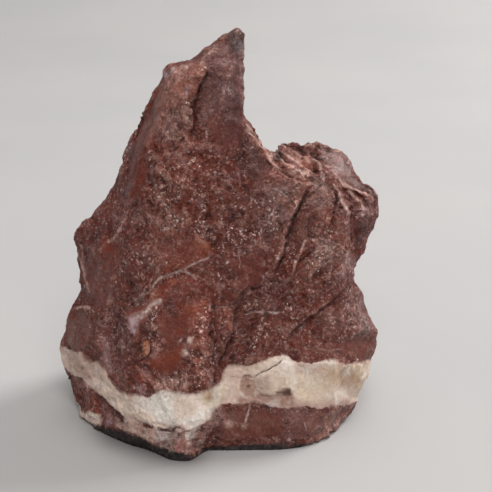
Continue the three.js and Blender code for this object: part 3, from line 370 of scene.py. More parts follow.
# Broken layers: the right-hand side of each line lies lower by so many mm, easing out over so many grid units.
LAYERS = [
    (1.5, 20, [(188, 138), (192, 129), (194, 120), (193, 108), (195, 99), (199, 88), (203, 79), (207, 68)]),
    (1.1, 22, [(273, 279), (283, 259), (287, 243), (291, 229), (296, 213), (302, 200), (310, 188), (318, 182)]),
    (1.1, 24, [(283, 342), (295, 330), (308, 318), (317, 313), (325, 307), (335, 299), (345, 288), (360, 274)]),
    (1.2, 14, [(318, 184), (303, 183), (290, 178), (284, 175), (276, 168), (266, 151), (256, 140), (246, 128)]),
    (0.9, 18, [(218, 372), (220, 362), (227, 350), (231, 340), (235, 325), (236, 312), (241, 303), (252, 289), (266, 285)]),
    (0.9, 12, [(357, 254), (351, 241), (349, 226), (351, 207), (348, 188)]),
    (0.8, 16, [(212, 388), (213, 372), (213, 350), (216, 330), (215, 312), (211, 296)]),
    (0.7, 12, [(247, 197), (240, 178), (238, 160), (243, 150)]),
    (0.6, 10, [(329, 237), (332, 225), (334, 211), (337, 200), (335, 187)]),
    (1.3, 10, [(342, 187), (354, 190), (362, 195), (369, 203), (372, 213)]),
    (1.0, 12, [(374, 200), (358, 190), (346, 183), (336, 174), (326, 164), (317, 158)]),
    (0.8, 16, [(352, 262), (340, 247), (326, 239), (312, 237), (300, 242)]),
    (0.8, 10, [(85, 377), (98, 372), (108, 385), (120, 398), (135, 401)]),
]
# Standing ridges: height mm, half width, points.
RIDGES = [
    (0.8, 2.4, [(265, 151), (272, 161), (280, 168), (292, 172), (304, 173), (318, 172)]),
    (0.5, 2.2, [(246, 128), (254, 136), (262, 148), (268, 158)]),
    (0.8, 2.2, [(333, 181), (337, 191), (342, 201), (348, 210), (351, 215)]),
    (0.6, 2.0, [(347, 188), (356, 198), (365, 205), (370, 212)]),
    (0.3, 2.0, [(126, 212), (121, 226), (113, 237), (104, 244)]),
    (0.4, 1.8, [(73, 309), (81, 306), (88, 307), (93, 314)]),
    (0.5, 2.2, [(78, 236), (80, 252), (83, 270), (88, 292)]),
]
# Pale edges without height, partly worn and partly painted highlights along crests: half width mm, points.
PALE_EDGES = [
    (0.30, [(320, 163), (330, 167), (336, 175), (347, 186), (359, 191), (370, 196), (376, 200)]),
    (0.22, [(272, 152), (281, 160), (290, 165), (298, 172)]), (0.22, [(283, 152), (294, 160), (304, 167), (312, 175)]),
    (0.25, [(318, 160), (321, 168), (323, 176), (327, 183)]), (0.2, [(244, 122), (252, 130), (260, 140), (266, 149)]),
    (0.22, [(309, 233), (303, 246), (297, 262), (293, 275)]), (0.2, [(353, 262), (346, 250), (337, 243), (326, 240)]),
]
# Steep sides in shade: strength, reach in grid units, points; darker on the right-hand side of the direction.
SHADES = [
    (0.80, 3.4, [(276, 272), (284, 253), (290, 234), (294, 222), (298, 209), (304, 198), (311, 186)]),
    (0.70, 4.0, [(300, 208), (307, 198), (314, 190), (321, 181)]),
    (0.75, 3.0, [(193, 106), (196, 97), (199, 89), (203, 80), (207, 69)]), (0.30, 2.4, [(189, 138), (192, 131), (194, 120), (194, 108)]),
    (0.34, 4.0, [(283, 342), (295, 330), (308, 318), (317, 313), (325, 307), (335, 299), (345, 288), (358, 276)]),
    (0.75, 2.6, [(335, 206), (334, 194), (333, 184)]), (0.60, 3.5, [(355, 216), (352, 205), (349, 192)]),
    (0.45, 3.0, [(218, 372), (220, 362), (227, 350), (231, 340), (235, 325), (236, 312), (241, 303)]),
    (0.60, 2.4, [(327, 237), (331, 228), (330, 217)]), (0.60, 3.0, [(376, 199), (370, 195), (359, 190), (347, 185)]),
    (0.80, 1.8, [(284, 152), (294, 155), (306, 160)]), (0.80, 2.2, [(284, 171), (290, 173), (298, 171), (305, 168)]), (0.6, 2.0, [(311, 146), (315, 152), (318, 160)]),
]
# Lighter and darker places of the broad face, partly the stone's own tone and partly painted light and shade, such as
# the darkened tip of the spire, which faces up into the light, and the dark pit: factor, softness, outline.
GAINS = [
    (1.30, 1.5, [(168, 278), (178, 278), (178, 286), (168, 286)]),
    (0.40, 5, [(226, 34), (238, 28), (246, 36), (244, 54), (230, 52)]), (1.2, 4, [(192, 60), (206, 48), (216, 44), (210, 60), (200, 68)]), (1.16, 6, [(162, 68), (204, 64), (196, 96), (190, 130), (160, 140)]),
    (1.18, 8, [(146, 110), (160, 90), (164, 120), (150, 140)]), (1.25, 10, [(158, 140), (195, 138), (212, 165), (190, 188), (158, 172)]),
    (0.78, 5, [(222, 108), (246, 108), (262, 150), (276, 172), (250, 178), (226, 150)]), (0.40, 2, [(272, 151), (281, 151), (284, 160), (275, 162)]),
    (1.35, 4, [(303, 182), (309, 186), (298, 208), (290, 232), (282, 260), (272, 262), (284, 222)]), (1.50, 4, [(192, 298), (208, 298), (209, 382), (200, 384), (190, 352)]),
    (1.6, 4, [(150, 378), (190, 376), (188, 392), (150, 392)]), (1.8, 4, [(136, 367), (150, 371), (150, 382), (136, 379)]), (1.25, 7, [(110, 362), (128, 370), (140, 392), (124, 392), (112, 380)]),
    (1.30, 5, [(308, 184), (330, 186), (334, 205), (322, 236), (302, 240), (300, 214)]), (1.32, 5, [(326, 214), (354, 216), (352, 246), (326, 238)]),
    (1.35, 7, [(312, 240), (356, 250), (358, 272), (320, 270)]), (1.25, 5, [(290, 242), (306, 242), (308, 260), (290, 264)]), (0.65, 3, [(310, 176), (322, 172), (322, 184), (312, 184)]),
    (1.5, 6, [(76, 380), (92, 390), (116, 412), (108, 420), (82, 410)]), (1.25, 6, [(214, 300), (236, 306), (234, 332), (216, 332)]), (1.3, 2, [(142, 341), (149, 340), (150, 353), (144, 357)]),
    (1.5, 4, [(126, 314), (150, 302), (164, 296), (164, 303), (150, 314), (141, 324), (138, 334), (128, 334)]), (0.8, 3, [(158, 440), (178, 440), (190, 447), (172, 450)]), (1.5, 4, [(98, 336), (108, 336), (114, 374), (106, 374)]), (1.25, 4, [(148, 346), (162, 346), (160, 362), (148, 362)]), (1.4, 3, [(132, 384), (144, 386), (143, 392), (132, 392)]),
    (1.2, 5, [(322, 412), (352, 404), (346, 425), (326, 442), (316, 438)]), (0.72, 1.5, [(188, 384), (201, 384), (203, 394), (188, 394)]), (1.2, 4, [(206, 408), (220, 406), (218, 422), (206, 436)]), (0.88, 4, [(250, 148), (266, 156), (272, 170), (254, 172)]),
    (1.35, 2, [(223, 420), (233, 420), (234, 428), (224, 429)]), (1.15, 4, [(290, 408), (304, 410), (302, 422), (292, 422)]),
]
# Pits: u, v, radius, depth mm.
PITS = [(182, 141, 2.6, 1.4), (277, 156, 3.2, 1.8), (284, 167, 2.4, 0.8), (356, 206, 4.5, 1.1), (341, 207, 2.6, 0.7), (82, 368, 1.8, 0.5), (88, 377, 1.5, 0.4), (71, 373, 1.6, 0.4),
        (287, 393, 3.6, 1.3), (278, 394, 3.0, 0.5), (212, 246, 3.0, 0.6), (190, 425, 4.0, 0.7), (323, 250, 2.6, 0.5), (331, 303, 4.5, 0.8), (357, 229, 5.5, 0.9)]


# ---- the finer mesh -----------------------------------------------------------------------------
def refine(points, faces, chosen):
    """Cuts the chosen triangles in four, and their neighbours so that no gap opens."""
    e = np.sort(np.concatenate([faces[:, [0, 1]], faces[:, [1, 2]], faces[:, [2, 0]]]), 1)
    key = e[:, 0].astype(np.int64) * len(points) + e[:, 1]
    uniq, first, inv = np.unique(key, return_index=True, return_inverse=True)
    n = len(faces)
    cut = np.zeros(len(uniq), bool)
    cut[inv.reshape(3, n)[:, chosen].ravel()] = True
    while True:  # a triangle with two cut edges is cut in four too, so thin ones don't build up
        k = cut[inv].reshape(3, n)
        two = k.sum(0) == 2
        if not two.any():
            break
        cut[inv.reshape(3, n)[:, two].ravel()] = True
    number = np.cumsum(cut) - 1 + len(points)
    ends = e[first[cut]]
    points = np.vstack([points, (points[ends[:, 0]] + points[ends[:, 1]]) / 2])
    k = cut[inv].reshape(3, n)
    mid = number[inv].reshape(3, n)
    a, b, c = faces.T
    full, none = k.all(0), ~k.any(0)
    out = [faces[none]]
    ab, bc, ca = mid[:, full]
    A, B, C = a[full], b[full], c[full]
    out += [np.stack(t, 1) for t in ((A, ab, ca), (ab, B, bc), (ca, bc, C), (ab, bc, ca))]
    for i in range(3):
        one = k[i] & (k.sum(0) == 1)
        p, q, r = faces[one][:, i], faces[one][:, (i + 1) % 3], faces[one][:, (i + 2) % 3]
        m = mid[i, one]
        out += [np.stack([p, m, r], 1), np.stack([m, q, r], 1)]
    return points, np.concatenate(out)


def normals(points, faces):
    t = points[faces]
    n = np.cross(t[:, 1] - t[:, 0], t[:, 2] - t[:, 0])
    total = np.zeros_like(points)
    for i in range(3):
        np.add.at(total, faces[:, i], n)
    return total / np.maximum(np.linalg.norm(total, axis=1, keepdims=True), 1e-12)


def averaged(values, faces, rounds):
    """Values at the vertices, each averaged with its neighbours' so many times."""
    pairs = np.concatenate([faces[:, [0, 1]], faces[:, [1, 2]], faces[:, [2, 0]]])
    count = np.bincount(pairs.ravel(), minlength=len(values)).astype(float)
    for _ in range(rounds):
        total = np.zeros_like(values)
        np.add.at(total, pairs[:, 0], values[pairs[:, 1]])
        np.add.at(total, pairs[:, 1], values[pairs[:, 0]])
        mean = total / (count[:, None] if values.ndim == 2 else count)
        values = 0.5 * values + 0.5 * mean
    return values


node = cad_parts["calcite_specimen"]
co = np.zeros(len(node.data.vertices) * 3)
node.data.vertices.foreach_get("co", co)
node.data.calc_loop_triangles()
tri = np.zeros(len(node.data.loop_triangles) * 3, np.int32)
node.data.loop_triangles.foreach_get("vertices", tri)
raw = np.round(co.reshape(-1, 3) * 1000, 3)
P, inv = np.unique(raw, axis=0, return_inverse=True)
T = inv.reshape(-1)[tri.reshape(-1, 3)]
T = T[(T[:, 0] != T[:, 1]) & (T[:, 1] != T[:, 2]) & (T[:, 2] != T[:, 0])].astype(np.int64)
P = P + SHIFT

for _ in range(2):
    P, T = refine(P, T, np.ones(len(T), bool))
resting = P[:, 2] < 0.02


def settle(P, most=0.5):
    """Points moved onto the stone's field."""
    f, _ = stone(P)
    g = np.stack([(stone(P + 0.3 * np.eye(3)[a])[0] - f) / 0.3 for a in range(3)], 1)
    gg = np.maximum((g * g).sum(1), 0.2)
    P = P - (np.clip(f, -most, most) / gg)[:, None] * g
    f, share = stone(P)
    return P - (np.clip(f, -0.4 * most, 0.4 * most) / gg)[:, None] * g, share


flat = P[resting, 2]
for _ in range(2):
    P, share = settle(P)
    P[resting, 2] = flat

# finer still along the cracks of the broad face and round the vein's edges
u, v, mm = grid(P)
toward = EYE - P
toward /= np.linalg.norm(toward, axis=1, keepdims=True)
seen = smooth(-0.05, 0.25, (normals(P, T) * toward).sum(1)) * smooth(8, 2, P[:, 1] - rim_at(u, v)[0])
near = np.full(len(P), 1e9)
for _, _, points in CRACKS + RIDGES + LAYERS[:3]:
    near = np.minimum(near, line_at(u, v, points)[0])
near = np.where(seen > 0.2, near, 1e9)
order = np.sort(near[T].min(1))
reach = min(9.0, order[min(len(order) - 1, 14500)])
P, T = refine(P, T, near[T].min(1) < reach)

# ---- relief ---------------------------------------------------------------------------------------
_, share = stone(P)
u, v, mm = grid(P)
N = normals(P, T)
toward = EYE - P
toward /= np.linalg.norm(toward, axis=1, keepdims=True)
facing = (N * toward).sum(1)
seen = smooth(-0.15, 0.2, averaged(facing, T, 3)) * smooth(9, 3, P[:, 1] - rim_at(u, v)[0])
front = smooth(-0.8, 0.3, share) * seen  # 1 on the broad face, 0 round the sides and the back

sway = np.stack([noise(P / 3.1, 81 + k) for k in range(3)], 1)
sway2 = np.stack([noise(P / 1.3, 91 + k) for k in range(3)], 1)
wu, wv = u + 0.9 * sway[:, 0] + 0.5 * sway2[:, 0], v + 0.9 * sway[:, 2] + 0.5 * sway2[:, 2]

# Bands of the stone, mm inside their edge. Round the sides and back they follow the height.
VEIN_TOP = [(40, 338), (62, 346), (75, 352), (80, 353), (85, 360), (92, 363), (98, 361), (105, 370), (108, 378), (112, 385), (120, 391), (125, 394), (130, 396), (135, 395), (142, 395.5), (148, 397), (153, 395), (157, 391), (161, 389), (167, 390.5), (173, 392.5), (180, 393), (188, 394), (196, 394), (203, 391.5), (207, 388.5), (213, 386), (219, 383), (221.5, 378), (223, 373), (225, 369), (228, 366.5), (232, 365), (240, 365), (247, 366), (252, 364.5), (257, 362.3), (263, 360), (269, 357.5), (273, 356), (280, 354.8), (287, 353.5), (290, 356.5), (293, 359.5), (298, 361.5), (310, 362.5), (318, 361.5), (324, 360), (335, 360), (341, 362.5), (346, 363.8), (356, 362.5), (368, 360), (400, 355)]
VEIN_FOOT = [(400, 402), (355, 402), (352, 403.5), (348, 405.5), (336, 406), (330, 407), (325, 409), (318, 409.5), (306, 407.5), (300, 408.5), (288, 409.5), (282, 408), (270, 407), (260, 404.5), (252, 402), (244, 405), (238, 406), (232, 404), (222, 404.5), (220, 406), (217, 409), (215, 412), (212, 417), (208, 421), (203, 425), (197, 430), (192, 431.5), (186, 430), (180, 428), (176, 427), (171, 430), (162, 429), (155, 428.4), (150, 425.6), (143, 423.2), (137, 421.4), (130, 419.5), (122, 417), (118, 413.5), (113, 409), (108, 404), (104, 399), (100, 393.5), (96, 390.5), (90, 388), (82, 380), (75, 376), (67, 371), (62, 366), (40, 360)]
SECOND = [(126, 414), (134, 418), (146, 422), (156, 425), (170, 427), (183, 430), (190, 432), (198, 430), (206, 426), (207, 440), (203, 449), (198, 453), (190, 458), (180, 456), (170, 452), (158, 447), (150, 442), (140, 437), (130, 432), (120, 429), (115, 425), (112, 418), (115, 419), (119, 424), (124, 423)]
PALE_FOOT = [(60, 400), (78, 410), (88, 412), (98, 415), (101, 419), (102, 425), (96, 428), (84, 424), (60, 418)]
around = np.degrees(np.arctan2(P[:, 1] + 2, P[:, 0] + 7.5)) % 360  # 0 towards +X, 90 towards the back
wave = 1.6 * noise(P / 9, 201) + 0.6 * noise(P / 3.3, 202)


def band(top, foot):
    a = [-40, 0, 40, 80, 120, 150, 180, 215, 320, 360, 400]
    return np.minimum(np.interp(around, a, top) - P[:, 2], P[:, 2] - np.interp(around, a, foot)) + wave


vein_side = band([14, 15.5, 18, 21.5, 23, 21, 17.5, 17.5, 14, 15.5, 18], [4.5, 4.5, 8, 13, 15.5, 14.5, 11.5, 11, 4.5, 4.5, 8])
second_side = band([-4, -4, -4, -4, 1, 4.5, 4, 5, -4, -4, -4], [-9] * 11)


def patch_mm(points):
    near = line_at(wu, wv, points, loop=True)[0] * mm
    return np.where(in_patch(wu, wv, points, 0.01) > 0.5, near, -near)


vein_face = patch_mm(VEIN_TOP + VEIN_FOOT)
second_face = np.maximum(patch_mm(SECOND), patch_mm(PALE_FOOT))
onface = smooth(0.1, 0.8, averaged(seen, T, 4))
DULL = [(216, 100), (247, 100), (250, 126), (266, 152), (282, 176), (250, 184), (226, 176), (218, 140)]
dull = in_patch(wu, wv, DULL, 5) * front
vein = np.clip(onface * vein_face + (1 - onface) * vein_side, -6, 6)
second = np.clip(onface * second_face + (1 - onface) * second_side, -6, 6)
in_vein = smooth(-0.3, 0.5, np.maximum(vein, second * 0.8))

# Where the broad face is splintery, in two places, and where it is sugary or waxy.
LEDGE = [(244, 122), (256, 130), (266, 147), (273, 140), (318, 140), (322, 158), (316, 176), (312, 184), (302, 181), (291, 176), (284, 173), (274, 166), (266, 153), (256, 140), (246, 130)]
FAN = [(300, 196), (318, 168), (335, 165), (352, 168), (382, 190), (382, 215), (366, 245), (356, 262), (330, 258), (296, 250)]
ledge = in_patch(wu, wv, LEDGE, 3) * front
fan = in_patch(wu, wv, FAN, 6) * front
WAXY = [(5, [(165, 268), (176, 246), (195, 236), (212, 244), (214, 250), (200, 259), (182, 268), (160, 276)]), (4, [(148, 303), (158, 290), (172, 279), (190, 275), (197, 281), (196, 290), (178, 297), (162, 303)]),
        (5, [(158, 312), (176, 302), (196, 305), (197, 320), (188, 338), (172, 346), (160, 338), (156, 322)]), (4, [(149, 360), (165, 350), (182, 345), (190, 352), (185, 368), (165, 378), (152, 372)]),
        (5, [(64, 324), (74, 311), (90, 317), (94, 335), (90, 352), (74, 350), (62, 344)]), (5, [(222, 412), (250, 410), (284, 411), (284, 438), (222, 440)]), (4, [(290, 412), (320, 414), (316, 438), (290, 438)]), (3, [(126, 312), (150, 302), (164, 296), (164, 302), (150, 312), (141, 322), (138, 334), (128, 334)]), (2, [(142, 342), (149, 340), (150, 352), (144, 357)]), (2, [(187, 336), (193, 338), (192, 345), (188, 344)]), (2, [(182, 350), (189, 349), (190, 356), (183, 357)]),
        (5, [(226, 258), (262, 255), (262, 284), (240, 290), (228, 280)]), (5, [(90, 240), (104, 240), (104, 300), (92, 305), (88, 280)]), (6, [(325, 146), (348, 152), (352, 172), (372, 188), (350, 190), (334, 178)]),
        (6, [(246, 150), (262, 152), (270, 176), (250, 178), (243, 165)]), (5, [(209, 62), (238, 34), (244, 50), (243, 150), (232, 154), (216, 152), (204, 122), (202, 96)]), (6, [(302, 348), (350, 340), (372, 340), (370, 357), (330, 358), (300, 358)]), (5, [(146, 104), (162, 80), (164, 100), (156, 130), (150, 150), (140, 200), (126, 200), (130, 150)]), (5, [(88, 246), (110, 234), (116, 250), (110, 300), (98, 310), (86, 290)])]
waxy = np.zeros(len(P))
for soft, points in WAXY:
    waxy = np.maximum(waxy, in_patch(wu, wv, points, soft) * front)
waxy *= 0.55 + 0.45 * smooth(-0.25, 0.3, noise(P / 6.5, 175))
patchy = noise(P / 9.5, 171) + 0.55 * noise(P / 4.1, 172)
waxy = np.maximum(waxy, (1 - front) * smooth(0.15, 0.55, noise(P / 8, 173) + 0.3 * noise(P / 3.5, 174)))
SUGARY = [(9, [(150, 150), (205, 150), (250, 185), (255, 235), (205, 240), (165, 235), (138, 200)]), (7, [(128, 300), (165, 303), (158, 345), (146, 372), (120, 352)]), (6, [(190, 300), (212, 300), (210, 385), (185, 388), (180, 345)]),
          (6, [(150, 372), (212, 372), (205, 392), (150, 394)]), (8, [(262, 190), (300, 195), (292, 240), (262, 242)]), (7, [(300, 245), (345, 240), (352, 268), (310, 300), (285, 290)]), (4, [(166, 100), (188, 98), (190, 124), (186, 144), (196, 160), (160, 168), (152, 150), (160, 130)])]
sugary = np.zeros(len(P))
for soft, points in SUGARY:
    sugary = np.maximum(sugary, in_patch(wu, wv, points, soft) * front)
sugary = np.clip(sugary * (0.75 + 0.5 * patchy) + smooth(0.0, 0.8, patchy) * 0.55, 0, 1) * (1 - 0.85 * waxy)

q = P + 0.8 * sway
relief = (0.55 * chips(q / 7.7, 121, 40) + 0.58 * chips(q / 3.9, 101, 36) + 0.38 * chips(q / 1.9, 141, 36)) * (0.62 + 0.45 * sugary) * (1 - 0.55 * waxy) * (1 - 0.45 * in_vein)
relief += (0.13 + 0.26 * sugary) * noise(P / 1.05, 161) * (1 - 0.8 * waxy) * (1 - 0.5 * in_vein)
relief += in_vein * (0.10 * chips(P / 1.6, 181, 30) + 0.09 * noise(P / 1.0, 191) + 0.1)
# splinters: along the ledge, and spread like a fan from the shoulder's corner
splinter = (1 - np.abs(noise(np.stack([(wu * 0.50 - wv * 0.87) / 4.4, (wu * 0.87 + wv * 0.50) / 30, 0 * wu], 1), 211)) * 2.4) * ledge
relief += 0.6 * splinter
spoke, reach_out = np.arctan2(wv - 171, wu - 321), np.hypot(wv - 171, wu - 321)
spokes = (1 - np.abs(noise(np.stack([spoke * 6.5, reach_out / 30, 0 * wu], 1), 221)) * 2.3) * fan * smooth(6, 26, reach_out)
relief += 0.14 * spokes
# faint long ribs down the left of the face
ribs = in_patch(wu, wv, [(78, 232), (122, 215), (128, 300), (100, 350), (66, 330)], 8) * front
rib = ribs * noise(np.stack([(wu + 0.15 * wv) / 5.5, wv / 38, 0 * wu], 1), 231)
relief += 0.45 * rib
streak = np.clip(0.8 * splinter + 0.15 * spokes + 0.5 * rib, -1, 1)
level = P[:, 2] < 0.25
relief = (relief - 0.2) * (1 - 0.5 * dull) * smooth(0.1, 1.6, P[:, 2]) * (1 - 0.7 * smooth(93, 98, P[:, 2]))

depth, crack, pale_wear_and_highlight = np.zeros(len(P)), np.full(len(P), 9.0), np.full(len(P), 9.0)
broken = 0.5 + 0.5 * noise(P / 2.4, 241)
for deep, half, points in CRACKS:
    near, signed, along = line_at(wu, wv, points)
    fade = smooth(0, 0.14, along) * smooth(1, 0.86, along) * (0.45 + 0.75 * broken)
    depth += deep * fade * np.clip(1 - near / (half * 1.25), 0, 1) ** 0.8
    crack = np.minimum(crack, near * mm + (1 - np.minimum(fade * 1.3, 1)) * 0.9)
for low, far, points in LAYERS:
    near, signed, along = line_at(wu, wv, points)
    fade = smooth(0, 0.12, along) * smooth(1, 0.88, along)
    depth += low * fade * smooth(-0.8, 1.0, signed) * np.exp(-near / far)
for high, half, points in RIDGES:
    near, signed, along = line_at(wu, wv, points)
    fade = smooth(0, 0.12, along) * smooth(1, 0.88, along)
    depth -= high * fade * np.clip(1 - near / (half * 1.5), 0, 1)
    pale_wear_and_highlight = np.minimum(pale_wear_and_highlight, near * mm + (1 - np.minimum(fade * (0.5 + broken), 1)) * 0.8)
for half, points in PALE_EDGES:
    near, signed, along = line_at(wu, wv, points)
    fade = smooth(0, 0.12, along) * smooth(1, 0.88, along)
    pale_wear_and_highlight = np.minimum(pale_wear_and_highlight, near * mm * 0.3 / half + (1 - np.minimum(fade * (0.5 + broken), 1)) * 0.8)
shade = np.zeros(len(P))
gain = np.ones(len(P))
for amount, soft, points in GAINS:
    gain *= 1 + (amount - 1) * in_patch(wu, wv, points, soft) * front
for strong, far, points in SHADES:
    near, signed, along = line_at(wu, wv, points)
    fade = smooth(0, 0.12, along) * smooth(1, 0.88, along)
    shade = np.maximum(shade, strong * fade * front * smooth(-0.9, 0.7, signed) * np.exp(-np.maximum(near - 0.35 * far, 0) / (0.65 * far)))
for pu, pv, pr, pd in PITS:
    depth += pd * np.clip(1 - ((wu - pu) ** 2 + (wv - pv) ** 2) / pr**2, 0, 1)
crack, pale_wear_and_highlight = 9 + (crack - 9) * np.minimum(1, front * 1.5), 9 + (pale_wear_and_highlight - 9) * np.minimum(1, front * 1.5)

# The undercut of the foot's front edge, painted dark as shade: which places are in it, and the way in from the edge.
undercut_painted_shade, inward, under_h = np.zeros(len(P)), np.zeros((len(P), 2)), np.zeros(len(P))
near_edge = np.full(len(P), 1e9)
for (ax, ay, ah), (bx, by, bh) in zip(EAVES, EAVES[1:]):
    ex, ey = bx - ax, by - ay
    t = np.clip(((P[:, 0] - ax) * ex + (P[:, 1] - ay) * ey) / (ex * ex + ey * ey), 0, 1)
    d = np.stack([P[:, 0] - ax - t * ex, P[:, 1] - ay - t * ey], 1)
    far = np.hypot(*d.T)
    h = ah + t * (bh - ah)
    undercut_painted_shade = np.maximum(undercut_painted_shade, smooth(0.22, -0.12, P[:, 2] - h + 0.10 * sway2[:, 0]) * smooth(3.2, 2.0, far) * smooth(0.1, 0.5, h) * smooth(88, 97, u))
    closer = far < near_edge
    inside = (d @ np.array([-ey, ex]) > 0)[:, None]
    inward = np.where(closer[:, None], np.where(inside, d, 0), inward)
    near_edge, under_h = np.where(closer, far, near_edge), np.where(closer, h, under_h)
stand = np.minimum(1, 1.5 / np.maximum(near_edge, 1e-9)) * smooth(4.5, 3.0, near_edge) * smooth(0.1, -0.5, P[:, 2] - under_h) * smooth(0.2, 0.8, under_h)

# Cracks round the back and sides, along the edges of the small breaks.
wander = np.abs(noise(P / 15 + 0.25 * sway, 251)) * 15
crack_back = np.where(noise(P / 19, 252) > 0.05, wander, 9)
depth_back = 0.9 * np.clip(1 - wander / 0.55, 0, 1) * smooth(0.0, 0.25, noise(P / 19, 252)) * (1 - front)

before = P.copy()
P = P + N * (relief - depth_back)[:, None]
P = P - toward * (depth * front * np.clip(facing * 1.7, 0, 1))[:, None]
P[:, 2] = np.where(level, np.maximum(before[:, 2], 0), np.maximum(P[:, 2], 0.02))

# Stray spikes laid back among their neighbours.
for _ in range(2):
    calm = averaged(P, T, 2)
    away = np.linalg.norm(P - calm, axis=1)
    keep = np.where(level, 1.0, np.minimum(1, 0.55 / np.maximum(away, 1e-9)))[:, None]
    P = calm + (P - calm) * keep
P[:, 2] = np.where(level, np.maximum(before[:, 2], 0), np.maximum(P[:, 2], 0.02))

P[:, :2] -= inward * stand[:, None]
corner = np.exp(-((u - 83) ** 2 + (v - 417) ** 2) / 60)
P[:, 0] -= 0.75 * corner
P[:, 1] -= 0.55 * corner

# How far each place stands out of its surroundings, mm: worn edges are paler, hollows darker with painted shade.
soft = averaged(P, T, 14)
proud = ((P - soft) * N).sum(1)

# ---- colour, as a few named colours laid on in soft patches -------------------------------------
def lin(r, g, b):
    """A display colour, 0 to 255, as linear light."""
    return np.array([(c / 255 / 12.92) if c <= 10 else ((c / 255 + 0.055) / 1.055) ** 2.4 for c in (r, g, b)])
